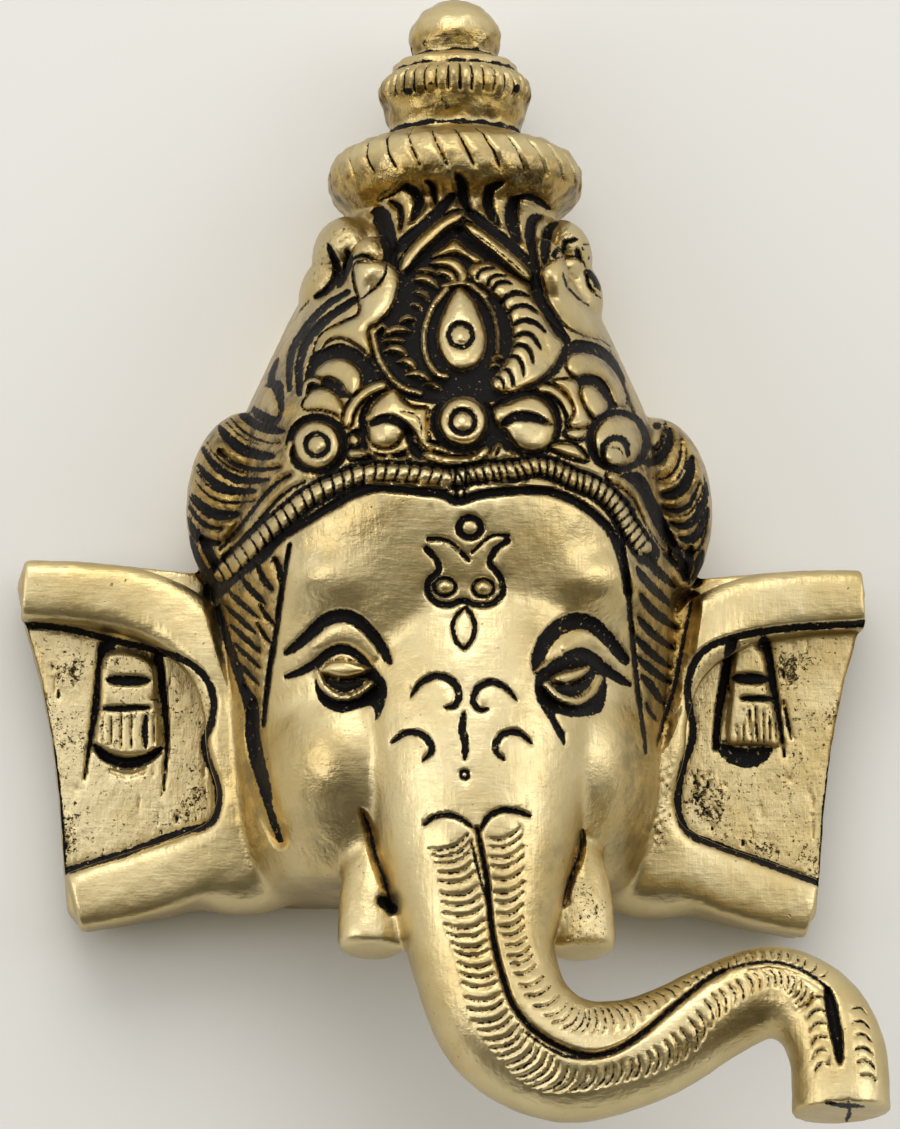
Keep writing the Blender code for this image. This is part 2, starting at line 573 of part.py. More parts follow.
def carve_face(relief):
    relief.use_plane(CROWN_PLANE)
    # Edge of the face and hair beside it
    relief.line([(-20.8, 3.0), (-21.8, -8.0), (-23.2, -18.0), (-24.0, -28.0), (-22.6, -36.0)], EDGE_LINE, False)
    relief.line([(22.4, -2.0), (23.2, -10.0), (24.6, -18.0), (25.4, -26.0), (24.0, -33.0)], EDGE_LINE, False)
    for side, count in ((-1, HAIR["left"]), (1, HAIR["right"])):
        for k in range(count):
            x, y = side * (HAIR["x"] + HAIR["drift"] * k), HAIR["top"] - HAIR["pitch"] * k
            reach = HAIR["reach"]
            relief.line([(x - reach, y + reach), (x, y), (x + reach, y - reach)], FINE)
    # Eyes: brow, lid, pocket and ball
    relief.line([(-20.6, -10.6), (-17.8, -7.6), (-14.4, -5.9), (-11.0, -6.6), (-8.2, -9.8), (-7.4, -11.8)], BROAD)
    relief.line([(-20.8, -13.8), (-17.0, -11.8), (-14.0, -10.0), (-11.0, -11.0), (-9.2, -13.2)], EDGE_LINE)
    relief.line([(-17.0, -14.0), (-15.6, -16.6), (-13.0, -17.4), (-10.2, -16.6), (-8.6, -14.6)], POCKET)
    relief.pad([(-16.2, -13.4), (-13.4, -15.2), (-10.4, -13.4), (-13.0, -11.6)], *EYE_BALL.values())
    relief.line([(11.4, -11.6), (12.6, -8.2), (15.4, -6.0), (18.4, -6.6), (20.4, -8.8), (22.2, -10.8)], BROAD)
    relief.line([(11.2, -12.4), (14.2, -10.8), (17.4, -10.4), (20.0, -12.4), (22.4, -14.2)], EDGE_LINE)
    relief.line([(11.4, -14.4), (13.2, -16.8), (16.2, -17.4), (18.8, -16.6), (19.8, -14.0)], POCKET)
    relief.pad([(12.2, -13.6), (15.6, -15.4), (18.6, -13.4), (15.6, -11.4)], *EYE_BALL.values())
    # Forehead mark
    for middle, radii in (((2.5, 5.9), (1.5, 1.5)), ((-0.7, -1.9), (1.5, 1.3)), ((4.2, -2.1), (1.5, 1.3))):
        ring_line(relief, middle, radii, FINE)
    relief.line([(-3.2, 4.2), (-0.4, 4.2), (2.4, 2.2)], FINE)
    relief.line([(7.8, 4.8), (5.4, 4.6), (3.0, 2.8)], FINE)
    relief.line([(-1.8, 1.4), (-3.2, -2.0), (-1.0, -4.2), (1.6, -3.8), (4.6, -4.4), (6.8, -2.2), (5.4, 1.2)], FINE)
    relief.line([(1.4, -4.8), (0.3, -7.0), (1.8, -9.8), (3.3, -7.0), (2.0, -4.8)], FINE, False)
    # Curled ornament over the trunk's root
    relief.line([(-4.9, -16.0), (-1.6, -13.3), (1.2, -15.4), (-0.6, -17.4)])
    relief.line([(8.6, -16.4), (5.4, -14.0), (3.0, -16.4), (5.0, -17.4)])
    relief.line([(1.9, -17.8), (1.6, -19.8), (2.0, -21.8), (1.9, -24.2)])
    relief.line([(-7.4, -22.0), (-5.4, -20.6), (-2.2, -22.8), (-3.4, -24.2)])
    relief.line([(10.4, -21.8), (8.6, -20.4), (5.8, -22.6), (7.0, -24.0)])


def carve_ears(relief):
    """Sunk panel, its border line and the pendant on each ear."""
    relief.use_plane(EAR_PLANE)
    for side in (-1, 1):
        border = [(54.0, -4.8), (46.0, -5.4), (38.0, -7.0), (32.8, -9.6), (30.6, -14.0), (31.2, -19.6),
                  (29.6, -26.0), (30.4, -30.8), (36.0, -33.2), (42.0, -35.2), (48.6, -37.4)]
        relief.line([mirrored(p, side) for p in border], EDGE_LINE, False)
        panel = border[1:-1] + [(48.0, -36.0), (49.0, -20.0), (52.0, -6.0)]
        relief.pad([mirrored(p, side) for p in panel], *PANEL.values())
        for line, groove in (([(43.0, -8.6), (44.0, -15.0), (45.0, -23.0)], EDGE_LINE),
                             ([(36.9, -8.6), (35.8, -14.0), (35.2, -22.0)], EDGE_LINE),
                             ([(37.6, -11.9), (40.4, -11.7), (43.0, -11.9)], EDGE_LINE),
                             ([(37.8, -15.0), (40.4, -15.0), (43.4, -15.0)], PLAIN),
                             ([(35.8, -20.4), (38.0, -22.6), (40.6, -22.8), (43.4, -20.6)], BROAD)):
            relief.line([mirrored(p, side) for p in line], groove)
        for k in range(TASSEL["cuts"]):
            x = side * (TASSEL["first"] + TASSEL["pitch"] * k)
            relief.line([(x, TASSEL["top"]), (x, TASSEL["foot"])], FINE)


def carve_trunk(relief):
    """Middle groove, the two arcs above it and the rows of cuts beside it."""
    relief.use_plane(TRUNK_PLANE)
    groove = [(1.8, -36.6), (2.8, -42.0), (3.3, -48.0), (4.8, -54.4), (8.2, -60.4), (14.0, -64.2), (19.0, -63.4),
              (24.0, -60.4), (30.0, -55.4), (36.4, -52.8)]
    tip = [(42.0, -53.4), (45.0, -56.4), (46.2, -61.0), (46.5, -65.0)]
    relief.line(groove + tip, EDGE_LINE, False)
    relief.line([(-5.0, -36.0), (-2.0, -34.8), (1.2, -36.4)], EDGE_LINE)
    relief.line([(2.0, -36.4), (4.4, -34.2), (8.2, -34.8)], EDGE_LINE)
    route = curve_through(groove, FINE_STEPS)
    for share in shares_along(route, TRUNK_CUTS["pitch"]):
        middle, run, across = place_on(route, share)
        for side, reach in ((-1, TRUNK_CUTS["left"]), (1, TRUNK_CUTS["right"])):
            near = middle + side * across * TRUNK_CUTS["near"] - run * TRUNK_CUTS["start"]
            bend = middle + side * across * reach / 2 - run * TRUNK_CUTS["bow"]
            far = middle + side * across * reach + run * TRUNK_CUTS["rise"]
            relief.line([near, bend, far], FINE)
    # Grooves beside the trunk's root and the nostrils on its end
    relief.line([(-12.2, -34.6), (-10.6, -40.0), (-9.0, -45.4)], ROOT_GROOVE)
    relief.line([(14.4, -37.0), (13.6, -41.0), (12.6, -45.0)], ROOT_GROOVE)
    relief.line([(44.8, -70.2), (47.0, -70.3), (49.2, -70.4)], FINE)


def carve_rings(mesh):
    """Notches round the rope ring and the ring above it."""
    for vertex in mesh.vertices:
        x, y, z = vertex.co / MM
        arm = Vector((x - FINIAL_AXIS[0], z - FINIAL_AXIS[1]))
        for ring in (ROPE_RING, NOTCHED_RING):
            off = (y - ring["height"]) / ring["half"]
            if abs(off) < 1.0 and arm.length > ring["half"] * 2:
                turn = math.atan2(arm.x, arm.y) + ring["slant"] * off
                wave = (0.5 + 0.5 * math.cos(turn * ring["notches"])) ** NOTCH_SHARPNESS
                arm *= 1 - ring["depth"] * wave * math.sqrt(1.0 - off * off) / arm.length
                vertex.co.x = (FINIAL_AXIS[0] + arm.x) * MM
                vertex.co.z = (FINIAL_AXIS[1] + arm.y) * MM


def brass_material():
    material = bpy.data.materials.new("cast_brass")
    material.use_nodes = True
    shader = material.node_tree.nodes["Principled BSDF"]
    shader.inputs["Base Color"].default_value = BRASS["colour"] + (1.0,)
    shader.inputs["Roughness"].default_value = BRASS["roughness"]
    shader.inputs["Metallic"].default_value = BRASS["metallic"]
    return material


def block(name, collection, middle, size):
    shell = bmesh.new()
    bmesh.ops.create_cube(shell, size=1.0)
    mesh = bpy.data.meshes.new(name)
    shell.to_mesh(mesh)
    shell.free()
    item = new_object(name, mesh, collection)
    item.location = middle
    item.scale = size
    return item


def cut(item, tool):
    tool.hide_render = True
    tool.display_type = "WIRE"
    joint = item.modifiers.new(tool.name, "BOOLEAN")
    joint.operation = "DIFFERENCE"
    joint.object = tool
    joint.solver = "EXACT"


def main():
    clear_scene()
    parts = bpy.data.collections.new("ganesha_mask")
    tools = bpy.data.collections.new("cutters")
    for collection in (parts, tools):
        bpy.context.scene.collection.children.link(collection)
    mask = blended(masses(parts), parts)
    relief = Relief(mask.data)
    carve_crown(relief)
    carve_wings(relief)
    carve_rope(relief)
    carve_face(relief)
    carve_ears(relief)
    carve_trunk(relief)
    relief.apply()
    carve_rings(mask.data)
    mask.name = mask.data.name = "ganesha_mask"
    mask.data.materials.clear()
    mask.data.materials.append(brass_material())
    thin = mask.modifiers.new("fewer_faces", "DECIMATE")
    thin.ratio = TRIANGLE_SHARE
    back = block("behind_back_plane", tools, (0.0, 0.0, -MASK_HEIGHT / 8),
                 (MASK_HEIGHT * 2, MASK_HEIGHT * 2, MASK_HEIGHT / 4))
    hollow = head_loft("hollow", tools, WALL / MM, HEAD_SKIRT * 2)
    centre = new_object("centre", None, parts)
    centre.location.y = -DRAWN_MIDDLE * MM
    mask.parent = centre
    for tool in (back, hollow):
        tool.parent = centre
        cut(mask, tool)


main()
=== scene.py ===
import math
import time

import bmesh
import bpy
import numpy as np
from mathutils import Matrix, Vector


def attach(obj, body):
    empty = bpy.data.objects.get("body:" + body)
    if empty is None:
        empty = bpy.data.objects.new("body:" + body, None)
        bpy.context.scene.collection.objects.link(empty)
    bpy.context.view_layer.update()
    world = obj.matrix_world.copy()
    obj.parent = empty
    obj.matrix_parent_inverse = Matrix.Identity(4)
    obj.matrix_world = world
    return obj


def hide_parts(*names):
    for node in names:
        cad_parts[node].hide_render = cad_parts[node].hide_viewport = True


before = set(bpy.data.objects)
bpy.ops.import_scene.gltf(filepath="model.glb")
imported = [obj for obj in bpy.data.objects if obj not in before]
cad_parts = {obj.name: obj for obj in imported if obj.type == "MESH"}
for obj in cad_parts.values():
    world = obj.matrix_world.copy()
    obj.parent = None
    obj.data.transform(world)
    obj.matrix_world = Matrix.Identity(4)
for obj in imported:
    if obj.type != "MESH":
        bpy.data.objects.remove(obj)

startTime = time.time()
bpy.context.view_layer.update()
mm = 0.001
drawnMiddle = 2.45    # the drawing's Y at the middle of the mask, in mm
fullTurn = 6.283
noPaint = -2.0    # mm outside the nearest painted edge


def report(stage):
    print("ganesha mask:", stage, round(time.time() - startTime, 1), "s")


# All shapes below are drawn in mm, X to the right, Y up the mask and Z out of the wall
mask = {
    "voxel": 0.26, "softenRounds": 18, "faceRounds": 180, "faceTop": 14.0, "faceHalfWidth": 22.0,
    "faceFade": 8.0,
    "jawTop": -34.0, "jawWidening": 10.0,
    "triangles": 212000, "wall": 4.0, "eye": (-69.8, -172.6, 982.4),
    "crownPlane": 20.0, "trunkPlane": 45.0, "earPlane": 8.0,
    "headSections": [    # height, middle, half width, depth
        (-40.6, 0.0, 21.0, 27.0), (-39.4, 0.0, 24.4, 31.0), (-34.0, 0.0, 27.0, 34.0),
        (-25.0, 0.0, 28.4, 35.6), (-15.0, 0.0, 29.2, 37.0), (-5.0, 0.0, 29.8, 40.4), (4.0, 0.0, 29.8, 42.6),
        (12.0, 0.0, 29.0, 42.4), (20.0, 0.2, 27.0, 40.0), (28.0, 0.3, 23.6, 36.0), (36.0, 0.4, 20.0, 31.6),
        (44.0, 0.8, 16.2, 27.0), (52.0, 1.1, 12.6, 23.4)],
    "headSquareness": 2.45, "headSides": 48,
    "trunkCourse": [    # seen x and y on the trunk plane, height, radius
        (0.8, -6.0, 20.0, 18.0), (1.0, -14.0, 22.6, 18.0), (1.2, -22.0, 26.2, 16.8), (1.4, -30.0, 29.8, 14.6),
        (1.6, -38.0, 32.6, 12.4), (1.8, -45.0, 34.6, 10.5), (2.2, -52.0, 36.0, 9.1), (5.4, -60.6, 37.4, 8.7),
        (12.2, -64.8, 38.0, 8.0), (19.2, -64.4, 37.6, 7.0), (25.0, -62.3, 37.4, 6.5),
        (31.0, -58.9, 37.8, 6.0), (37.4, -56.3, 39.0, 5.7), (42.9, -58.4, 41.0, 5.8),
        (45.9, -63.6, 42.6, 6.0), (46.4, -71.2, 43.6, 6.1)],
    "finialAxis": (1.2, 12.2), "finialSteps": 96,
    "finialProfile": [    # height, radius
        (46.0, 11.0), (48.2, 13.8), (49.6, 15.6), (51.4, 16.4), (53.4, 16.4), (55.4, 15.4), (56.8, 12.8),
        (57.4, 10.0), (58.2, 8.6), (59.6, 8.4), (60.6, 9.0), (61.8, 9.1), (62.4, 9.3), (63.4, 9.9),
        (65.2, 9.9), (66.2, 8.8), (66.6, 8.1), (67.7, 8.1), (68.3, 6.8), (68.8, 5.3), (70.0, 5.7),
        (71.6, 6.1), (73.2, 5.6), (74.8, 4.3), (76.0, 2.6), (76.8, 0.0)],
    "earOutline": [
        (20.0, 1.0), (33.0, 1.7), (40.0, 2.4), (47.0, 3.0), (53.8, 2.9), (54.6, 0.0), (53.6, -5.0),
        (51.6, -12.0), (50.0, -20.0), (49.0, -28.0), (48.4, -36.0), (47.8, -42.0), (45.6, -44.4),
        (36.0, -42.8), (27.0, -40.6), (20.0, -37.6)],
    "dents": [    # wave directions in turns per mm, for the hammered unevenness
        (0.21, 0.13, 0.17), (-0.15, 0.24, 0.11), (0.10, -0.19, 0.26), (0.33, 0.28, -0.12),
        (-0.29, 0.36, 0.31)],
    "earBack": 3.0, "earThickness": 5.2,
    "earFrame": [    # x, y, z, half width, half height
        (54.0, -1.1, 8.6, 3.9, 3.2), (46.0, -1.6, 9.2, 4.1, 3.3), (39.0, -2.9, 10.0, 4.3, 3.4),
        (33.4, -5.8, 11.2, 4.3, 3.6), (29.3, -10.8, 12.2, 3.9, 3.6), (27.7, -17.0, 12.6, 3.3, 3.2),
        (27.4, -22.0, 12.6, 3.1, 3.2), (26.0, -28.0, 12.2, 3.1, 3.2), (27.6, -33.8, 11.4, 3.9, 3.4),
        (33.0, -37.2, 10.2, 4.4, 3.4), (39.4, -39.2, 9.4, 4.4, 3.3), (47.2, -41.2, 8.6, 3.8, 3.1)],
    "strapSquareness": 3.2, "strapSides": 28,
    "lumps": [    # middle and radii, on both sides
        ((13.6, -25.5, 12.0), (12.8, 16.0, 23.6)), ((13.0, -3.0, 18.0), (13.0, 9.0, 21.2)),
        ((26.2, 9.6, 10.5), (7.6, 12.4, 12.5)), ((13.8, 41.6, 15.5), (4.2, 5.0, 9.0)),
        ((16.0, 36.6, 13.0), (3.6, 5.0, 8.5)), ((10.8, 37.0, 24.6), (3.4, 5.4, 5.4)),
        ((26.4, -36.8, 7.6), (9.4, 5.8, 7.0))],
    "lumpShift": 0.6, "rodSmoothness": 12,
    "tuskCourse": [(11.4, -35.0, 27.0, 3.4), (12.8, -41.0, 29.0, 4.1), (13.3, -50.0, 31.0, 4.4)],
    "tuskMiddle": 2.6,
}
eye = np.array(mask["eye"])


def curveThrough(points, steps=6, closed=False):
    # Catmull-Rom through rows of numbers
    rows = np.array(points, float)
    if closed:
        rows = np.vstack([rows[-1], rows, rows[0], rows[1]])
    else:
        rows = np.vstack([2 * rows[0] - rows[1], rows, 2 * rows[-1] - rows[-2]])
    found = []
    for a, b, c, d in zip(rows, rows[1:], rows[2:], rows[3:]):
        for t in np.arange(steps) / steps:
            found.append(0.5 * (2 * b + (c - a) * t + (2 * a - 5 * b + 4 * c - d) * t ** 2
                                + (3 * b - a - 3 * c + d) * t ** 3))
    if not closed:
        found.append(rows[-2])
    return np.array(found)


def realPlace(seenX, seenY, plane, height):
    # where a point seen on a drawing plane lies at its true height
    share = (eye[2] - height) / (eye[2] - plane)
    return eye + (np.array([seenX, seenY, plane]) - eye) * share


def mirrored(place, side):
    return (place[0] * side,) + tuple(place[1:])


def deselect():
    if bpy.context.object and bpy.context.object.mode != "OBJECT":
        bpy.ops.object.mode_set(mode="OBJECT")
    bpy.ops.object.select_all(action="DESELECT")


def pick(item):
    # the only one selected, and active
    deselect()
    item.select_set(True)
    bpy.context.view_layer.objects.active = item


def makeObject(name, data):
    item = bpy.data.objects.new(name, data)
    bpy.context.scene.collection.objects.link(item)
    return item


def applied(item, name, kind, **settings):
    # a modifier added to the active object and applied
    modifier = item.modifiers.new(name, kind)
    for setting, value in settings.items():
        setattr(modifier, setting, value)
    bpy.ops.object.modifier_apply(modifier=modifier.name)


def skinRings(name, shell, rings):
    # closed solid through equal rings of corners
    count = len(rings[0])
    for lower, upper in zip(rings, rings[1:]):
        for k in range(count):
            after = (k + 1) % count
            shell.faces.new((lower[k], lower[after], upper[after], upper[k]))
    shell.faces.new(reversed(rings[0]))
    shell.faces.new(rings[-1])
    bmesh.ops.recalc_face_normals(shell, faces=shell.faces)
    mesh = bpy.data.meshes.new(name)
    shell.to_mesh(mesh)
    shell.free()
    return makeObject(name, mesh)


def squared(number, power):
    # sine or cosine of a turn, pressed towards a square's side
    return math.copysign(abs(number) ** power, number)


def headLoft(name, inset, skirt):
    # half-round sections standing on the back plane
    shell = bmesh.new()
    rings = []
    low, high = mask["headSections"][0][0], mask["headSections"][-1][0]
    power = 2 / mask["headSquareness"]
    for drawn, middle, half, depth in curveThrough(mask["headSections"], 3):
        height = low + inset + (drawn - low) * (high - low - 2 * inset) / (high - low)
        ring = []
        for turn in np.linspace(0.0, math.pi, mask["headSides"] + 1):
            across = squared(math.cos(turn), power)
            up = abs(math.sin(turn)) ** power
            ring.append((middle + (half - inset) * across, height, (depth - inset) * up))
        ring.append((middle - (half - inset), height, -skirt))
        ring.append((middle + (half - inset), height, -skirt))
        rings.append([shell.verts.new(Vector(place) * mm) for place in ring])
    return skinRings(name, shell, rings)


def rod(name, course):
    # round rod along x, y, z and radius rows
    curve = bpy.data.curves.new(name, "CURVE")
    curve.dimensions = "3D"
    curve.bevel_depth = mm
    curve.bevel_resolution = mask["rodSmoothness"]
    curve.use_fill_caps = True
    rows = curveThrough(course, 12)
    spline = curve.splines.new("POLY")
    spline.points.add(len(rows) - 1)
    for point, (x, y, z, radius) in zip(spline.points, rows):
        point.co = (x * mm, y * mm, z * mm, 1.0)
        point.radius = radius
    return asMesh(makeObject(name, curve))


def strap(name, course):
    # flat bar with rounded edges, along x, y, z, half width and half height rows
    rows = curveThrough(course, 6)
    shell = bmesh.new()
    rings = []
    power = 2 / mask["strapSquareness"]
    runs = np.gradient(rows[:, :3], axis=0)
    for (x, y, z, half, high), run in zip(rows, runs):
        across = Vector((-run[1], run[0], 0.0)).normalized()
        ring = []
        for turn in np.linspace(0.0, 2 * math.pi, mask["strapSides"], endpoint=False):
            wide = squared(math.cos(turn), power) * half
            out = squared(math.sin(turn), power) * high
            ring.append(shell.verts.new((Vector((x, y, z + out)) + across * wide) * mm))
        rings.append(ring)
    return skinRings(name, shell, rings)


def asMesh(item):
    # curve to mesh, with its caps welded
    pick(item)
    bpy.ops.object.convert(target="MESH")
    item = bpy.context.object
    bpy.ops.object.transform_apply(location=True, rotation=True, scale=True)
    bpy.ops.object.mode_set(mode="EDIT")
    bpy.ops.mesh.select_all(action="SELECT")
    bpy.ops.mesh.remove_doubles(threshold=0.00001)
    bpy.ops.object.mode_set(mode="OBJECT")
    return item


def ball(name, middle, radii):
    bpy.ops.mesh.primitive_uv_sphere_add(segments=64, ring_count=32, radius=mm, location=Vector(middle) * mm)
    item = bpy.context.object
    item.name = name
    item.scale = radii
    bpy.ops.object.transform_apply(location=False, rotation=False, scale=True)
    return item


def finial():
    # the profile is spun about an axis along Y
    mesh = bpy.data.meshes.new("finial")
    rows = [(0.0, mask["finialProfile"][0][0])] + [(radius, height) for height,
        radius in mask["finialProfile"]]
    axis = Vector((mask["finialAxis"][0], 0.0, mask["finialAxis"][1])) * mm
    places = [Vector((x + mask["finialAxis"][0], y, mask["finialAxis"][1])) * mm for x, y in rows]
    mesh.from_pydata(places, [(k, k + 1) for k in range(len(places) - 1)], [])
    item = makeObject("finial", mesh)
    pick(item)
    mesh.transform(Matrix.Translation(-axis))
    item.location = axis
    applied(item, "turning", "SCREW", axis="Y", steps=mask["finialSteps"], render_steps=mask["finialSteps"],
            use_merge_vertices=True, merge_threshold=0.00002, use_normal_calculate=True)
    return asMesh(item)


def earSheet(name, side):
    curve = bpy.data.curves.new(name, "CURVE")
    curve.dimensions = "2D"
    curve.fill_mode = "BOTH"
    curve.extrude = mask["earThickness"] / 2 * mm
    spline = curve.splines.new("POLY")
    spline.points.add(len(mask["earOutline"]) - 1)
    for point, (x, y) in zip(spline.points, mask["earOutline"]):
        point.co = (side * x * mm, y * mm, 0.0, 1.0)
    spline.use_cyclic_u = True
    item = makeObject(name, curve)
    item.location.z = (mask["earBack"] + mask["earThickness"] / 2) * mm
    return asMesh(item)


def rawForm():
    # all lumps joined and given one skin
    lumps = [headLoft("head", 0.0, 4.0), finial()]
    course = []
    for seenX, seenY, height, radius in mask["trunkCourse"]:
        course.append(tuple(realPlace(seenX, seenY, mask["trunkPlane"], height)) + (radius,))
    lumps.append(rod("trunk", course))
    for side in (-1, 1):
        lumps.append(earSheet("ear", side))
        lumps.append(strap("earFrame", [mirrored(row, side) for row in mask["earFrame"]]))
        course = [(mask["tuskMiddle"] + side * x, y, z, radius) for x, y, z, radius in mask["tuskCourse"]]
        lumps.append(rod("tusk", course))
        for (x, y, z), radii in mask["lumps"]:
            lumps.append(ball("lump", (mask["lumpShift"] + side * x, y, z), radii))
    deselect()
    for lump in lumps:
        lump.select_set(True)
    bpy.context.view_layer.objects.active = lumps[0]
    bpy.ops.object.join()
    item = bpy.context.object
    item.name = item.data.name = "brassMask"
    bpy.ops.object.transform_apply(location=True, rotation=True, scale=True)
    applied(item, "skin", "REMESH", mode="VOXEL", voxel_size=mask["voxel"] * mm)
    return item


class Relief:
    # height and black paint of the carving at every vertex, as seen from the eye point
    def __init__(self, mesh):
        count = len(mesh.vertices)
        places = np.empty(count * 3)
        mesh.vertices.foreach_get("co", places)
        normals = np.empty(count * 3)
        mesh.vertex_normals.foreach_get("vector", normals)
        self.places = places.reshape(-1, 3) / mm
        self.sight = eye - self.places
        self.sight /= np.linalg.norm(self.sight, axis=1)[:, None]
        self.normals = normals.reshape(-1, 3)
        turned = np.sum(self.sight * self.normals, axis=1)
        self.facing = np.clip(1.7 * turned, 0.0, 1.0)
        # flank: how far a point turns from the eye, painted olive later as painted shade
        self.flank = np.clip((0.80 - turned) / 0.65, 0.0, 1.0)
        self.worn = np.zeros(count)    # pitted, roughly hammered metal
        self.brownedAndShaded = np.zeros(count)    # brown tone, in places painted shade
        self.level = np.zeros(count)    # height that counts as the open surface
        self.raised = np.zeros(count)
        self.ink = np.full(count, noPaint)
        self.usePlane(mask["crownPlane"])

    def usePlane(self, plane):
        share = ((eye[2] - plane) / (eye[2] - self.places[:, 2]))[:, None]
        self.seen = (eye + (self.places - eye) * share)[:, :2]
        self.order = np.argsort(self.seen[:, 1], kind="stable")
        self.sortedY = self.seen[self.order, 1]

    def near(self, points, reach):
        low, high = points.min(axis=0) - reach, points.max(axis=0) + reach
        first, last = np.searchsorted(self.sortedY, (low[1], high[1]))
        band = self.order[first:last]
        x = self.seen[band, 0]
        return band[(x > low[0]) & (x < high[0]) & (self.facing[band] > 0.0)]

    def distance(self, chosen, points, closed):
        ends = np.roll(points, -1, axis=0) if closed else points[1:]
        starts = points if closed else points[:-1]
        best = np.full(len(chosen), 1e9)
        along = np.zeros(len(chosen))
        here = self.seen[chosen]
        for k, (start, end) in enumerate(zip(starts, ends)):
            run = end - start
            rel = here - start
            share = np.clip(rel @ run / max(run @ run, 1e-9), 0.0, 1.0)
            far = np.hypot(rel[:, 0] - share * run[0], rel[:, 1] - share * run[1])
            nearer = far < best
            best[nearer] = far[nearer]
            along[nearer] = (k + share[nearer]) / len(starts)
        return best, along

    def insideOf(self, chosen, route):
        x, y = self.seen[chosen].T
        inside = np.zeros(len(chosen), bool)
        for (ax, ay), (bx, by) in zip(route, np.roll(route, -1, axis=0)):
            if ay != by:
                inside ^= ((ay > y) != (by > y)) & (x < (bx - ax) * (y - ay) / (by - ay) + ax)
        return inside

    def within(self, outline, reach=0.2):
        # the smooth outline, the points near it, how far each is from it, and which lie inside
        route = curveThrough(outline, 5, True)
        chosen = self.near(route, reach)
        far, _ = self.distance(chosen, route, True)
        return route, chosen, far, self.insideOf(chosen, route)

    def cut(self, points, width=0.8, depth=0.8, taper=0.0, ink=True, closed=False, painted=1.0):
        # groove; taper 0 keeps its width, 1 narrows it to a point at both ends, below 0 at the last one
        route = curveThrough(points, 6, closed)
        chosen = self.near(route, width * 0.5 + 1.0)
        if not len(chosen):
            return
        far, along = self.distance(chosen, route, closed)
        half = width / 2
        if taper > 0.0:
            half = half * (1 - taper + taper * np.sqrt(np.clip(4 * along * (1 - along), 0.0, 1.0)))
        if taper < 0.0:
            half = half * (1 + taper * along)
        share = np.clip(1 - (far / np.maximum(half * 1.15, 0.01)) ** 2, 0.0, 1.0)
        self.raised[chosen] -= depth * share
        if ink:
            self.ink[chosen] = np.maximum(self.ink[chosen], half * painted - far)

    def valley(self, points, width=1.6, depth=0.5, painted=0.3, taper=0.5):
        # soft dip with a thin black line in it, between two rounded strands
        self.cut(points, width, depth, taper, ink=False)
        self.cut(points, max(painted, 0.4), 0.4, taper, painted=painted / max(painted, 0.4))

    def pad(self, outline, top=0.6, edge=1.5, floor=-1.0, moat=0.5, smooth=True, ink=True, steps=5):
        # cushion with a rounded edge that rises from the floor, and a black moat round it
        route = curveThrough(outline, steps, True) if smooth else np.array(outline, float)
        chosen = self.near(route, max(moat, 0.6) + 0.2)
        if not len(chosen):
            return
        far, _ = self.distance(chosen, route, True)
        inside = self.insideOf(chosen, route)
        step = np.clip(far / edge, 0.0, 1.0)
        cushion = floor + (top - floor) * np.sqrt(1 - (1 - step) ** 2)
        old = self.raised[chosen]
        ditch = np.minimum(old, floor * np.clip(1.3 * (1 - far / max(moat, 0.01)), 0.0, 1.0))
        self.raised[chosen] = np.where(inside, cushion, np.where(far < moat, ditch, old))
        black = self.ink[chosen]
        outer = np.minimum(np.maximum(black, moat - far), far) if ink else np.minimum(black, far)
        self.ink[chosen] = np.where(inside, -far, np.where(far < moat + 0.2, outer, black))

    def bar(self, points, width=1.0, top=0.4, floor=-1.2, moat=0.5, tipShare=1.0, ink=True):
        # rounded bar along a smooth line; tipShare narrows its last end
        route = curveThrough(points, 6)
        runs = np.gradient(route, axis=0)
        runs /= np.linalg.norm(runs, axis=1)[:, None]
        half = width / 2 * np.linspace(1.0, tipShare, len(route))[:, None]
        fromEnd = np.minimum(np.arange(len(route)), np.arange(len(route))[::-1])
        half = half * np.sqrt(np.clip(fromEnd / 2.0, 0.25, 1.0))[:, None]    # rounded ends
        across = np.stack([-runs[:, 1], runs[:, 0]], axis=1) * half
        self.pad(np.vstack([route + across, (route - across)[::-1]]), top, width / 2, floor, moat, False, ink)

    def thread(self, points, width=0.35, top=0.1):
        # fine gold line standing in a black ground
        route = curveThrough(points, 6)
        chosen = self.near(route, width + 0.5)
        far, _ = self.distance(chosen, route, False)
        half = width / 2
        crest = top - 1.2 * np.clip(far / half - 0.5, 0.0, 4.0)
        near = far < half * 2.5
        self.raised[chosen] = np.where(near, np.maximum(self.raised[chosen], crest), self.raised[chosen])
        self.ink[chosen] = np.minimum(self.ink[chosen], far - half)

    def ground(self, outline, depth=1.2, fade=0.6):
        # sink an area and paint it black
        _, chosen, far, inside = self.within(outline, 0.6)
        signed = np.where(inside, far, -far)
        sunk = np.minimum(self.raised[chosen], -depth * np.clip(signed / fade, 0.0, 1.0))
        self.raised[chosen] = np.where(signed > 0.0, sunk, self.raised[chosen])
        self.ink[chosen] = np.maximum(self.ink[chosen], np.minimum(signed, 1.5))


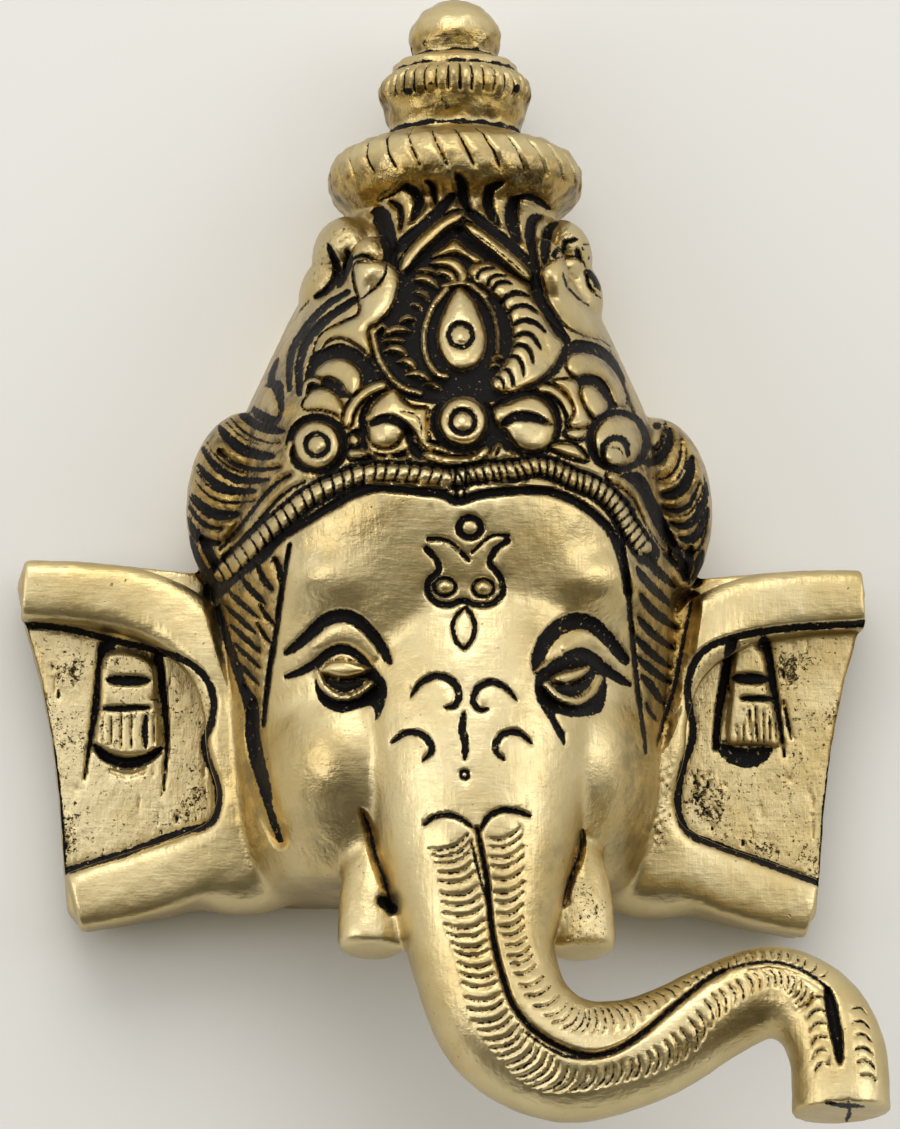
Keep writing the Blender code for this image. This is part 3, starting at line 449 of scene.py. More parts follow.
def roughen(relief, outline, amount, stretch=1.0, pits=0, black=0.5, seed=3, wear=1.0):
    # worn, hammered metal inside an outline, with small pits, some of them holding paint
    route, chosen, far, inside = relief.within(outline)
    share = np.where(inside, np.clip(far / 0.8, 0.0, 1.0), 0.0)
    x, y = relief.seen[chosen].T
    wave = np.zeros(len(chosen))
    for k, (a, b, _) in enumerate(mask["dents"]):    # four times as fine as on the finial
        wave += np.sin(fullTurn * (a * 4.0 * x + b * 4.0 * y / stretch) + 2.1 * k) / len(mask["dents"])
    relief.raised[chosen] += amount * wave * share
    relief.worn[chosen] = np.maximum(relief.worn[chosen], share * wear)
    rng = np.random.default_rng(seed)
    low, high = route.min(axis=0), route.max(axis=0)
    for _ in range(pits):
        x, y = low + rng.random(2) * (high - low)
        size = 0.12 + 0.16 * rng.random() ** 2
        reach = rng.random() * 0.7 * stretch
        if inside[np.argmin(np.hypot(*(relief.seen[chosen] - (x, y)).T))]:
            pit = [(x, y), (x + 0.1, y - reach / 2), (x, y - reach)]
            relief.cut(pit, size * 2, 0.3, 0.4, ink=rng.random() < black)


def darken(relief, outline, amount):
    # darker brown inside an outline, fading at its edge; in places this is painted shade
    _, chosen, far, inside = relief.within(outline)
    share = np.where(inside, np.clip(far / 2.5, 0.0, 1.0), 0.0) * amount
    relief.brownedAndShaded[chosen] = np.maximum(relief.brownedAndShaded[chosen], share)


def ringOf(middle, radius, high=None):
    turns = np.linspace(0.0, 2 * math.pi, 28, endpoint=False)
    return [(middle[0] + radius * math.cos(t), middle[1] + (high or radius) * math.sin(t)) for t in turns]


def rosette(relief, middle, radius, groove, boss):
    # round button with a ring groove and a boss, in a black moat
    relief.ground(ringOf(middle, radius + 1.15), 1.4, 0.6)
    relief.pad(ringOf(middle, radius, radius * 1.03), 1.0, 1.5, -1.2, 0.2)
    relief.cut(ringOf(middle, groove), 0.85, 1.0, closed=True)
    relief.pad(ringOf(middle, boss), 1.1, 1.1, 0.1, 0.0, ink=False)


crown = {
    # black wedges under the rope ring: points from the ring down, and width
    "wedges": [([(-9.9, 46.6), (-8.7, 46.5), (-8.0, 44.4), (-7.6, 42.2), (-7.2, 40.2)], 2.1),
        ([(-7.6, 48.1), (-6.5, 47.4), (-6.2, 46.0), (-6.3, 44.4)], 0.85),
        ([(-5.7, 50.0), (-4.4, 49.4), (-3.9, 48.2), (-4.2, 47.0), (-4.9, 45.6)], 1.4),
        ([(-3.0, 50.9), (-2.2, 50.2), (-2.0, 48.8), (-1.7, 47.6)], 0.8),
        ([(0.9, 51.8), (1.6, 50.4), (1.7, 48.6), (2.4, 47.0)], 1.5),
        ([(6.8, 50.9), (5.2, 50.0), (4.8, 48.4), (5.2, 46.8), (6.2, 45.2)], 1.5),
        ([(8.6, 48.9), (8.0, 47.8), (7.9, 46.2), (8.2, 44.6), (8.8, 43.0)], 1.9),
        ([(11.8, 46.5), (10.6, 45.9), (10.3, 44.2), (10.5, 42.4), (11.0, 40.4)], 1.5),
        ([(13.9, 45.8), (12.8, 44.8), (12.3, 43.0), (12.2, 41.6), (12.2, 40.2)], 1.4)],
    "flank": [(16.0, 38.0), (20.0, 34.0), (24.0, 28.0), (28.0, 22.0), (26.0, 12.0), (20.0, 13.0),
        (17.0, 24.0), (17.0, 32.0)],
    "middle": [(-16.0, 44.0), (0.0, 54.0), (16.0, 44.0), (22.0, 14.0), (0.0, 12.0), (-20.0, 12.0)],
    "leftBands": [    # x, y, half length, half width and tilt of each gold band of the leaf
        (-3.0, 37.8, 1.75, 0.6, -20), (-2.7, 39.1, 1.5, 0.32, -12), (-3.5, 36.0, 1.2, 0.45, -32),
        (-4.2, 34.5, 0.8, 0.3, -30), (-5.4, 32.8, 1.1, 0.38, 8), (-6.8, 31.3, 1.75, 0.5, 8),
        (-7.2, 30.0, 1.6, 0.3, 2), (-6.8, 28.7, 1.6, 0.6, -14), (-5.3, 27.0, 1.45, 0.6, -26),
        (-3.8, 25.4, 1.8, 0.55, -20), (-2.2, 24.2, 1.3, 0.34, -14)],
    "rightLeaf": [(2.4, 39.2), (3.2, 40.0), (4.6, 40.4), (6.0, 40.0), (7.4, 39.0), (8.9, 38.2), (10.3, 37.3),
        (10.4, 36.2), (11.3, 34.7), (12.6, 32.4), (13.5, 31.0), (14.5, 30.0), (14.1, 28.7), (13.3, 27.0),
        (11.8, 25.3), (10.0, 24.3), (8.0, 23.5), (6.0, 23.6), (5.3, 24.7), (6.4, 26.2), (7.6, 28.0),
        (8.1, 30.0), (8.0, 32.0), (7.3, 34.0), (6.4, 35.5), (5.1, 36.6), (4.0, 37.4), (3.0, 37.9)],
    "rightCommas": [
        ([(3.5, 37.9), (3.7, 38.9), (4.6, 39.5), (5.9, 39.6)], 0.6),
        ([(4.8, 37.2), (5.2, 38.2), (6.0, 38.6), (7.2, 38.6)], 0.65),
        ([(5.4, 36.6), (6.0, 37.5), (6.8, 37.8), (7.9, 37.6)], 0.65),
        ([(6.6, 35.0), (7.3, 35.9), (8.6, 36.4), (10.3, 35.9)], 0.8),
        ([(7.5, 33.7), (8.3, 34.5), (9.8, 34.7), (11.4, 33.8)], 0.75),
        ([(8.1, 32.1), (9.3, 32.8), (10.8, 32.6), (12.3, 31.3)], 0.75),
        ([(8.2, 30.6), (9.4, 31.1), (10.6, 30.7), (11.7, 29.1)], 0.75),
        ([(8.2, 29.3), (9.2, 29.6), (10.2, 28.9), (10.7, 27.3)], 0.75),
        ([(7.7, 28.0), (8.5, 28.1), (9.2, 27.2), (9.5, 25.6)], 0.7),
        ([(6.8, 26.4), (7.5, 26.3), (8.0, 25.3), (8.1, 24.1)], 0.65),
        ([(5.8, 25.4), (6.4, 25.3), (6.9, 24.6), (6.9, 23.9)], 0.5)],
}


def carveCrown(relief):
    relief.usePlane(mask["crownPlane"])
    # leaf fan under the rope ring: rounded gold leaves between black wedges
    for points, width in crown["wedges"]:
        relief.cut(points, width + 1.2, 0.5, 0.5, ink=False)
        relief.cut(points, width, 1.2, 0.7)
    relief.cut([(8.8, 49.0), (10.6, 48.9), (12.9, 47.4)], 1.1, 0.8, 0.6)
    relief.valley([(-9.0, 48.2), (-7.0, 49.2), (-5.4, 50.4)], 1.4, 0.5, 0.5)
    # black ground below the gable
    relief.ground([(1.4, 45.4), (-2.4, 42.6), (-6.0, 39.4), (-7.0, 36.0), (-10.4, 31.4), (-10.6, 27.6),
        (-8.8, 24.6), (-5.4, 22.4), (0.6, 21.6), (6.0, 22.2), (11.4, 24.2), (14.4, 26.6), (15.6, 30.4),
        (12.8, 33.4), (11.2, 37.2), (6.4, 41.6)], 1.3, 0.6)
    # gable bars and the channels beside them
    relief.cut([(0.4, 49.0), (-1.5, 46.8), (-3.6, 44.8), (-5.6, 43.1), (-6.8, 41.6)], 1.6, 1.2, 0.4)
    relief.cut([(2.6, 46.8), (5.5, 44.4), (8.4, 41.9), (11.0, 39.4)], 1.7, 1.3, 0.3)
    relief.bar([(1.7, 46.7), (-0.7, 45.3), (-2.7, 43.6), (-4.6, 41.6), (-6.3, 39.0)], 1.5, 0.7, moat=0.4)
    relief.bar([(2.0, 45.3), (4.8, 43.2), (7.7, 40.8), (10.5, 38.2)], 1.4, 0.7, moat=0.4)
    relief.cut([(3.4, 44.0), (5.6, 42.3), (8.0, 40.3), (9.8, 38.7)], 0.3, 0.35, 0.5)
    relief.cut([(1.2, 44.4), (-0.9, 43.3), (-3.0, 41.6), (-5.6, 38.8)], 1.1, 0.5, 0.3)
    relief.cut([(1.2, 44.3), (3.4, 42.6), (6.4, 40.2), (10.6, 36.8)], 1.2, 0.5, 0.3)
    # plain gold triangle over the jewel, and the crescents in it
    relief.pad([(0.6, 43.3), (2.2, 42.0), (4.6, 40.4), (3.2, 40.2), (2.2, 40.9), (0.8, 41.5), (-1.0, 41.2),
        (-2.4, 40.8), (-0.9, 42.1)], 0.3, 0.9, -1.1, 0.1)
    relief.pad([(-2.6, 40.1), (-0.6, 40.9), (1.0, 40.6), (1.8, 39.6), (2.2, 38.2), (1.4, 37.6), (0.9, 38.9),
        (-0.4, 39.8)], 0.3, 0.6)
    relief.pad([(-2.4, 39.0), (-0.8, 39.4), (0.4, 38.9), (0.8, 37.8), (0.2, 37.8), (-0.4, 38.5),
        (-1.4, 38.7)], 0.2, 0.4, moat=0.3)
    relief.thread([(-0.8, 37.2), (0.4, 37.4), (1.4, 37.6), (2.6, 37.4)], 0.4)
    # jewel in its black ring, with a contour line on each side
    relief.thread([(-0.4, 36.8), (-2.1, 34.6), (-3.1, 32.0), (-3.3, 29.6), (-2.8, 27.4), (-1.6, 25.8),
        (-0.4, 25.4)], 0.55, 0.3)
    relief.thread([(3.0, 37.4), (4.6, 35.4), (5.7, 33.2), (6.1, 31.0), (6.1, 28.6), (5.5, 27.4)], 0.4, 0.1)
    relief.thread([(2.8, 37.3), (3.8, 36.5), (4.6, 35.9)], 0.55, 0.1)
    relief.pad([(1.3, 37.1), (2.8, 35.6), (3.9, 33.4), (4.6, 31.0), (4.5, 28.8), (3.5, 27.0), (1.6, 26.2),
        (0.2, 26.6), (-0.9, 27.9), (-1.6, 29.9), (-1.4, 32.0), (-0.6, 34.2), (0.3, 36.1)],
        0.9, 1.9, -1.2, 0.35)
    relief.cut(ringOf((1.4, 30.8), 1.52), 0.8, 0.9, closed=True)
    relief.pad(ringOf((1.4, 30.8), 1.1), 1.3, 1.1, 0.2, 0.0, ink=False)
    # banded leaves
    for x, y, reach, high, tilt in crown["leftBands"]:
        crescent(relief, (x, y), reach, high, tilt)
    relief.thread([(-9.9, 31.4), (-9.5, 29.2), (-8.8, 27.2), (-7.5, 25.2), (-5.8, 23.8), (-3.8, 23.2)],
        0.55, 0.3)
    relief.thread([(-9.6, 31.1), (-8.6, 31.9), (-7.8, 31.0)], 0.4, 0.2)
    relief.pad(crown["rightLeaf"], 0.6, 1.5, -1.2, 0.3)
    for points, width in crown["rightCommas"]:
        relief.cut(points, width, 0.9, 0.6)
    relief.cut([(11.6, 31.4), (12.2, 30.0), (12.6, 28.2)], 1.0, 0.4, 0.8, ink=False)
    for x, y, turn in ((6.2, 28.0, 0), (5.7, 26.9, 10)):
        crescent(relief, (x, y), 0.7, 0.3, turn)
    carveBeasts(relief)
    carveScrolls(relief)
    for side in (-1, 1):
        darken(relief, [mirrored(place, side) for place in crown["flank"]], 0.9)
    darken(relief, crown["middle"], 0.5)


def crescent(relief, middle, reach, high, tilt):
    # gold crescent, humped side up, tilted by degrees
    level, rise = math.cos(math.radians(tilt)), math.sin(math.radians(tilt))
    shape = [(-reach, -high * 0.9), (-reach * 0.6, high * 0.6), (0.0, high * 1.2), (reach * 0.6, high * 0.7),
             (reach, -high * 0.7), (reach * 0.5, -high * 0.5), (0.0, -high * 0.35),
             (-reach * 0.5, -high * 0.5)]
    turned = [(middle[0] + x * level - y * rise, middle[1] + x * rise + y * level) for x, y in shape]
    relief.pad(turned, 0.4, 0.6, -1.1, 0.25, steps=4)


def carveBeasts(relief):
    # black ground round the curls
    relief.ground([(-10.0, 45.4), (-8.4, 46.8), (-6.9, 41.0), (-6.2, 38.4), (-6.4, 34.4), (-10.2, 31.4),
        (-11.2, 34.0), (-8.6, 40.6)], 1.3, 0.5)
    relief.ground([(11.4, 41.0), (10.2, 38.0), (11.0, 35.0), (13.0, 32.4), (15.2, 30.6), (14.2, 33.0),
        (12.2, 36.2)], 1.3, 0.5)
    # left beast: lumpy head, black commas and the smooth hook that curls under it
    relief.pad([(-9.4, 44.4), (-10.6, 45.6), (-13.0, 46.2), (-15.4, 45.4), (-17.2, 43.4), (-18.4, 40.2),
        (-15.8, 39.8), (-12.6, 40.4), (-10.8, 40.9), (-9.0, 40.8), (-9.0, 42.6)],
        0.7, 2.4, -0.6, 0.1, ink=False)
    roughen(relief, [(-9.4, 44.4), (-13.0, 45.8), (-16.8, 43.0), (-18.6, 38.6), (-17.2, 36.0), (-14.8, 38.0),
        (-13.0, 41.0), (-10.0, 41.4)], 0.3, pits=14, black=0.3, seed=4)
    relief.cut([(-15.6, 42.3), (-15.0, 41.0), (-14.4, 39.2), (-14.5, 38.0), (-15.6, 36.4), (-17.2, 35.4)],
        1.1, 1.0, 0.5)
    relief.cut([(-13.2, 41.6), (-12.8, 40.6), (-13.2, 39.2), (-13.7, 38.0), (-14.3, 36.8)], 1.15, 1.0, 0.6)
    relief.cut([(-12.4, 40.5), (-11.2, 41.0), (-9.7, 40.5)], 0.7, 0.7, 0.6)
    relief.pad([(-12.2, 39.6), (-10.9, 40.2), (-8.8, 40.2), (-7.2, 39.6), (-6.6, 38.0), (-6.8, 36.0),
        (-7.7, 33.9), (-9.2, 32.3), (-10.4, 31.4), (-10.3, 29.9), (-10.0, 27.8), (-11.2, 28.9), (-12.8, 29.9),
        (-14.4, 30.3), (-15.8, 29.6), (-16.9, 28.0), (-17.2, 28.8), (-16.6, 30.2), (-15.4, 31.3),
        (-13.4, 32.3), (-11.6, 33.4), (-11.6, 35.4), (-12.2, 37.4)], 1.2, 2.2, -0.9, 0.35)
    relief.cut([(-8.1, 40.0), (-8.3, 38.6), (-9.1, 37.3), (-10.1, 36.3), (-11.3, 35.3)], 0.45, 0.6, 0.5)
    relief.cut([(-9.0, 38.6), (-9.8, 37.4), (-11.2, 36.2)], 2.0, 0.4, 0.5, ink=False)
    # strands that run down from the left beast
    relief.cut([(-12.0, 35.2), (-14.0, 33.9), (-16.2, 32.2), (-18.2, 29.8), (-19.2, 26.6), (-19.2, 23.0)],
        1.3, 1.2, 0.3)
    relief.cut([(-13.0, 36.2), (-15.2, 34.8), (-17.3, 32.8), (-19.3, 30.2), (-20.4, 27.4), (-20.5, 23.4)],
        1.15, 1.1, 0.3)
    relief.valley([(-18.0, 35.0), (-19.6, 33.0), (-21.2, 30.6), (-22.2, 28.0), (-22.6, 25.4), (-22.2, 23.0)],
        1.8, 0.6, 0.4, 0.3)
    relief.cut([(-22.0, 27.4), (-22.8, 25.2), (-22.4, 22.6)], 1.1, 0.9, 0.5)
    relief.cut([(-24.6, 26.2), (-23.8, 24.8), (-24.8, 23.4)], 0.8, 0.7, 0.5)
    # right beast: rough head and broad smooth curl
    relief.pad([(14.2, 46.0), (16.4, 45.4), (18.4, 43.8), (19.6, 41.4), (20.0, 38.8), (19.4, 36.4),
        (17.8, 37.4), (17.0, 40.6), (15.2, 41.2), (13.4, 41.0), (13.8, 43.4)], 0.6, 1.9, -0.6, 0.1, ink=False)
    roughen(relief, [(13.8, 45.4), (16.4, 45.2), (18.6, 43.6), (19.8, 40.8), (19.6, 37.4), (18.0, 38.0),
        (17.2, 41.0), (14.0, 41.6)], 0.4, pits=26, black=0.5, seed=9)
    relief.cut([(14.5, 41.6), (14.8, 43.0), (16.4, 43.5)], 0.75, 0.8, 0.5)
    relief.cut([(16.3, 42.0), (16.6, 40.9)], 0.8, 0.8)
    relief.cut([(13.3, 41.4), (13.9, 42.2)], 0.8, 0.7)
    relief.cut([(16.8, 42.8), (18.6, 42.9)], 0.4, 0.5, 0.5)
    relief.cut([(17.6, 39.4), (18.6, 38.2), (19.5, 36.8)], 1.1, 0.9, 0.5)
    relief.pad([(11.8, 39.7), (13.4, 40.7), (15.2, 41.2), (16.7, 40.8), (17.4, 39.3), (17.7, 37.6),
        (18.6, 36.2), (20.4, 34.8), (21.8, 32.0), (22.8, 29.6), (24.0, 26.0), (24.4, 24.0), (22.8, 27.2),
        (21.2, 29.2), (19.4, 30.4), (17.4, 31.0), (15.2, 31.9), (13.8, 33.6), (12.5, 35.8), (11.8, 38.0)],
        1.2, 2.6, -0.9, 0.3)
    relief.cut([(14.5, 39.2), (14.8, 37.9), (15.8, 36.4), (17.8, 34.8)], 0.45, 0.6, 0.5)
    relief.cut([(15.4, 38.8), (16.2, 37.2), (17.6, 35.8)], 1.8, 0.4, 0.5, ink=False)
    relief.cut([(17.2, 39.4), (17.8, 37.6), (18.6, 36.6)], 0.45, 0.5, 0.5)
    relief.cut([(20.0, 33.6), (21.2, 32.6), (21.9, 31.6)], 0.4, 0.3, 0.5)


def carveScrolls(relief):
    # left outer scroll: two stacked crescents with a comma between
    relief.ground([(-17.8, 27.8), (-16.2, 28.8), (-14.4, 29.6), (-12.6, 29.2), (-10.6, 27.8), (-9.3, 25.4),
        (-10.6, 22.6), (-12.4, 22.0), (-13.2, 22.4), (-17.2, 22.2), (-18.8, 23.6)], 1.4, 0.5)
    relief.pad([(-17.2, 25.5), (-16.2, 26.8), (-14.4, 27.5), (-12.8, 27.2), (-11.5, 26.1), (-11.1, 24.8),
        (-11.5, 23.4), (-12.0, 22.5), (-13.0, 23.0), (-13.9, 24.3), (-15.2, 25.0), (-16.4, 25.0)],
        1.0, 1.6, -1.2, 0.3)
    relief.pad([(-18.8, 21.6), (-17.8, 23.1), (-16.2, 23.6), (-14.7, 23.0), (-13.8, 21.8), (-13.2, 20.4),
        (-13.4, 19.5), (-14.6, 20.3), (-16.4, 20.8), (-18.4, 20.8)], 0.8, 1.5, -1.1, 0.2)
    relief.thread([(-18.6, 22.6), (-18.4, 24.0), (-17.6, 24.6), (-16.6, 24.4)], 0.5, 0.2)
    # gold web between the scrolls
    relief.bar([(-8.0, 24.3), (-9.8, 23.7), (-11.6, 22.4), (-12.8, 20.6), (-13.1, 18.6)], 1.3, 0.6, moat=0.3)
    relief.ground([(-11.4, 18.0), (-11.6, 20.2), (-10.6, 22.2), (-8.8, 23.6), (-7.6, 23.9), (-8.4, 23.2),
        (-10.0, 21.6), (-10.6, 19.4), (-10.6, 16.6)], 1.2, 0.3)
    # inner left scroll with a comma cut
    relief.pad([(-7.4, 23.6), (-9.0, 22.6), (-10.1, 21.2), (-10.5, 19.4), (-10.3, 17.4), (-9.5, 16.3),
        (-8.0, 16.0), (-6.8, 16.5), (-6.0, 17.6), (-5.0, 18.2), (-4.2, 17.4), (-3.4, 16.2), (-2.0, 15.6),
        (-2.6, 17.4), (-2.8, 19.4), (-2.9, 21.2), (-4.6, 21.4), (-5.8, 22.2), (-6.6, 23.2)],
        1.0, 2.2, -1.1, 0.3)
    relief.cut([(-9.9, 19.2), (-8.4, 19.8), (-6.8, 19.6), (-5.4, 18.5), (-5.0, 16.8)], 1.35, 1.2, 0.3)
    relief.cut([(-6.4, 20.8), (-4.8, 20.6), (-3.8, 19.6), (-3.6, 17.8)], 0.35, 0.4, 0.5)
    relief.ground([(-12.6, 18.2), (-10.9, 18.2), (-10.1, 15.9), (-8.0, 15.3), (-5.8, 15.9), (-4.6, 17.0),
        (-3.0, 15.0), (-4.0, 14.4), (-8.0, 14.6), (-12.6, 14.4)], 1.3, 0.3)
    relief.pad([(-13.0, 15.6), (-11.0, 15.7), (-10.5, 14.9), (-12.6, 14.6)], 0.4, 0.6)
    relief.pad([(-12.5, 17.8), (-11.5, 17.2), (-11.8, 16.2), (-12.8, 16.6)], 0.2, 0.5)
    for line in ([(-10.4, 15.6), (-9.4, 14.9), (-8.0, 14.5)],
                 [(-7.8, 14.9), (-6.4, 14.5), (-5.0, 14.9)],
                 [(-5.6, 16.6), (-5.1, 15.2), (-4.0, 14.2)]):
        relief.thread(line, 0.42, 0.2)
    # collar under the middle rosette
    relief.ground([(-3.2, 16.8), (-1.6, 15.4), (1.6, 14.2), (4.4, 15.4), (6.2, 15.2), (6.4, 17.8),
        (5.6, 20.0), (4.6, 17.2), (1.6, 16.0), (-1.6, 17.2)], 1.2, 0.3)
    relief.bar([(-3.4, 15.3), (-1.0, 14.6), (1.4, 14.4), (3.4, 14.8), (4.9, 16.2)], 1.2, 0.7, moat=0.2)
    relief.thread([(-3.0, 16.6), (-1.3, 16.0), (0.6, 15.6), (2.6, 15.8), (4.2, 16.8)], 0.5, 0.3)
    # inner right scroll, eye-shaped
    relief.ground([(5.2, 18.0), (5.0, 21.4), (8.0, 23.4), (11.0, 24.0), (13.4, 22.6), (14.4, 20.0),
        (14.0, 17.4), (12.6, 15.6), (9.6, 15.0), (7.0, 16.0)], 1.3, 0.4)
    relief.pad([(5.4, 20.4), (5.9, 21.5), (7.6, 22.1), (9.6, 22.9), (11.4, 22.8), (12.8, 21.6), (13.5, 20.0),
        (13.5, 18.2), (12.6, 16.5), (11.0, 15.8), (9.4, 16.0), (8.1, 17.0), (7.2, 18.4), (6.2, 19.2)],
        1.0, 2.2, -1.1, 0.25)
    relief.cut([(6.6, 19.2), (8.2, 20.2), (10.4, 20.3), (12.9, 19.4)], 1.5, 1.2, 0.75)
    relief.thread([(10.2, 19.4), (11.6, 19.1), (12.8, 19.6)], 0.3)
    relief.bar([(11.2, 24.0), (13.0, 23.8), (14.7, 22.4), (15.6, 20.4), (15.4, 18.9)], 1.15, 0.6, moat=0.4)
    relief.pad([(14.8, 18.4), (16.4, 19.0), (17.6, 18.5), (16.8, 17.5), (15.4, 17.6)], 0.3, 0.6)
    relief.pad([(12.8, 16.5), (14.6, 17.0), (16.4, 16.4), (17.5, 14.8), (15.6, 15.1), (13.8, 15.8)], 0.5, 0.8)
    relief.thread([(5.2, 14.6), (6.2, 16.6), (7.0, 15.7), (8.6, 15.2)], 0.5, 0.2)
    relief.thread([(9.6, 15.2), (11.0, 15.0), (12.2, 15.5)], 0.4, 0.2)
    # right outer scroll: hook, drop and rim
    relief.ground([(15.4, 30.2), (17.4, 30.4), (19.8, 29.5), (21.6, 27.6), (22.8, 24.6), (22.4, 22.2),
        (20.4, 21.2), (18.0, 19.8), (16.2, 22.0), (15.2, 25.6), (14.6, 28.2)], 1.3, 0.4)
    relief.pad([(15.4, 28.4), (17.4, 28.6), (19.4, 27.9), (21.0, 26.3), (22.2, 24.2), (22.5, 22.0),
        (21.2, 22.2), (20.3, 24.2), (19.1, 25.5), (17.5, 25.9), (16.0, 25.6), (14.9, 26.8)],
        1.0, 1.8, -1.1, 0.25)
    relief.pad([(13.2, 25.0), (14.8, 25.3), (16.2, 24.9), (16.6, 23.0), (17.8, 20.8), (18.0, 19.6),
        (16.6, 18.9), (15.2, 19.4), (15.9, 21.0), (15.4, 22.8), (14.4, 24.0)], 0.8, 1.4, -1.1, 0.25)
    relief.pad([(16.9, 24.2), (18.1, 24.4), (19.4, 23.3), (20.2, 21.8), (19.0, 20.1), (17.8, 20.9),
        (17.0, 22.6)], 0.8, 1.3, -1.1, 0.3)
    relief.bar([(22.8, 25.8), (23.8, 22.6), (24.7, 20.2), (25.0, 18.2)], 1.3, 0.7, moat=0.4)
    relief.pad([(25.0, 24.4), (26.4, 22.4), (27.3, 20.2), (27.2, 18.0), (26.4, 16.2), (25.5, 17.0),
        (25.5, 19.4), (24.8, 22.0)], 0.8, 1.4, -1.1, 0.4)
    relief.cut(ringOf((26.5, 19.3), 0.25), 0.7, 0.7, closed=True)
    relief.pad([(23.9, 17.6), (25.0, 17.4), (25.9, 15.6), (25.0, 13.7), (24.2, 14.6), (24.4, 16.0)],
        0.5, 0.8, -1.1, 0.3)
    # left outer scroll at the wing's root
    relief.ground([(-25.6, 22.6), (-24.4, 23.6), (-21.6, 24.6), (-21.0, 22.0), (-21.4, 19.6), (-22.4, 18.4),
        (-24.0, 19.0), (-25.4, 20.6)], 1.1, 0.5)
    relief.pad([(-25.2, 22.8), (-23.2, 23.6), (-22.1, 21.8), (-21.9, 20.0), (-23.4, 20.4), (-25.0, 21.4)],
        0.6, 1.1, -1.0, 0.3)
    # rosettes on top of it all
    rosette(relief, (1.7, 19.6), 3.1, 1.52, 1.15)
    rosette(relief, (-16.9, 16.3), 3.0, 1.4, 1.05)
    relief.thread([(-20.3, 16.4), (-20.7, 15.0), (-20.4, 13.8), (-19.5, 12.7), (-18.0, 12.2)], 0.6, 0.4)
    relief.thread([(-17.8, 12.5), (-16.6, 12.2), (-15.4, 12.5)], 0.4, 0.2)
    relief.ground(ringOf((21.5, 17.3), 4.2), 1.3, 0.5)
    relief.pad(ringOf((21.5, 17.3), 3.05, 3.25), 1.5, 2.9, -1.1, 0.2)
    relief.cut([(19.5, 15.2), (19.8, 16.8), (21.1, 17.7), (22.5, 17.1), (22.8, 15.4)], 1.0, 1.0, 0.5)
    relief.pad(ringOf((21.0, 15.4), 1.15), 1.7, 1.1, 0.3, 0.0, ink=False)


wings = {
    # centre line of each gold strand, from the top one down; black gaps part them
    "left": [
        [(-21.0, 18.8), (-23.0, 18.9), (-24.8, 19.6), (-26.0, 20.8), (-26.6, 22.2)],
        [(-21.0, 17.2), (-23.4, 17.4), (-25.6, 18.4), (-27.2, 20.0), (-28.2, 21.6)],
        [(-20.9, 15.6), (-23.4, 15.7), (-26.0, 16.6), (-28.2, 18.4), (-29.6, 20.4)],
        [(-21.2, 14.0), (-24.0, 13.8), (-26.8, 14.4), (-29.0, 16.2), (-30.8, 19.0)],
        [(-21.8, 12.6), (-24.6, 12.2), (-27.4, 12.6), (-29.8, 14.4), (-31.8, 17.6)],
        [(-22.6, 11.2), (-25.4, 10.8), (-28.2, 11.2), (-30.6, 13.0), (-32.8, 16.0)],
        [(-24.0, 9.8), (-26.6, 9.4), (-29.2, 9.7), (-31.4, 11.2), (-33.4, 14.2)],
        [(-25.4, 8.2), (-27.8, 7.8), (-30.0, 8.1), (-32.0, 9.6), (-33.8, 12.4)],
        [(-27.0, 6.4), (-29.2, 6.2), (-31.0, 6.6), (-32.6, 8.2), (-33.8, 10.4)],
        [(-28.6, 4.4), (-30.4, 4.4), (-31.8, 5.2), (-33.2, 7.0), (-33.8, 8.4)],
        [(-29.8, 2.4), (-31.2, 2.6), (-32.4, 3.6), (-33.4, 5.4), (-33.6, 6.6)]],
    "right": [
        [(24.0, 15.6), (25.4, 15.8), (26.6, 16.8), (27.2, 18.0), (27.4, 19.4)],
        [(24.4, 13.8), (26.4, 13.4), (28.0, 14.4), (28.8, 16.4), (28.8, 18.6)],
        [(25.4, 11.8), (27.6, 11.3), (29.2, 12.4), (30.2, 14.8), (30.2, 17.6)],
        [(26.4, 9.8), (28.6, 9.3), (30.4, 10.4), (31.4, 13.0), (31.5, 15.8)],
        [(27.2, 7.9), (29.2, 7.2), (31.0, 8.2), (32.3, 10.9), (32.6, 13.6)],
        [(28.0, 6.1), (29.8, 5.4), (31.4, 6.2), (32.8, 8.9), (33.0, 11.2)],
        [(28.8, 4.4), (30.4, 3.8), (31.7, 4.4), (32.6, 6.4), (32.9, 8.4)],
        [(29.6, 2.7), (31.0, 2.2), (32.0, 2.8), (32.6, 4.6), (32.8, 6.0)]],
    "gaps": (1.3, 0.5, 1.6, 0.8, 1.2),    # widths of the black gaps, in turn
    "feet": [[(-33.4, 4.4), (-32.6, 2.2), (-31.6, 0.2), (-30.6, -1.6)],
        [(-31.4, 4.0), (-30.6, 2.0), (-29.6, 0.0)], [(32.2, 3.0), (31.8, 1.0), (31.2, -1.2)],
        [(30.6, 3.4), (30.4, 1.4), (29.8, -0.6)]],
    "outline": [(19.0, 22.0), (27.0, 23.0), (34.0, 18.0), (35.0, 8.0), (34.0, -2.0), (28.0, -1.0),
        (22.0, 6.0), (19.0, 13.0)],
    "pocket": [(21.4, 12.6), (23.4, 13.4), (25.0, 12.6), (26.4, 9.8), (28.0, 6.4), (29.4, 3.4), (30.4, 1.0),
        (29.6, 1.0), (28.0, 3.4), (26.4, 5.8), (24.6, 8.4), (22.8, 10.8)],
}


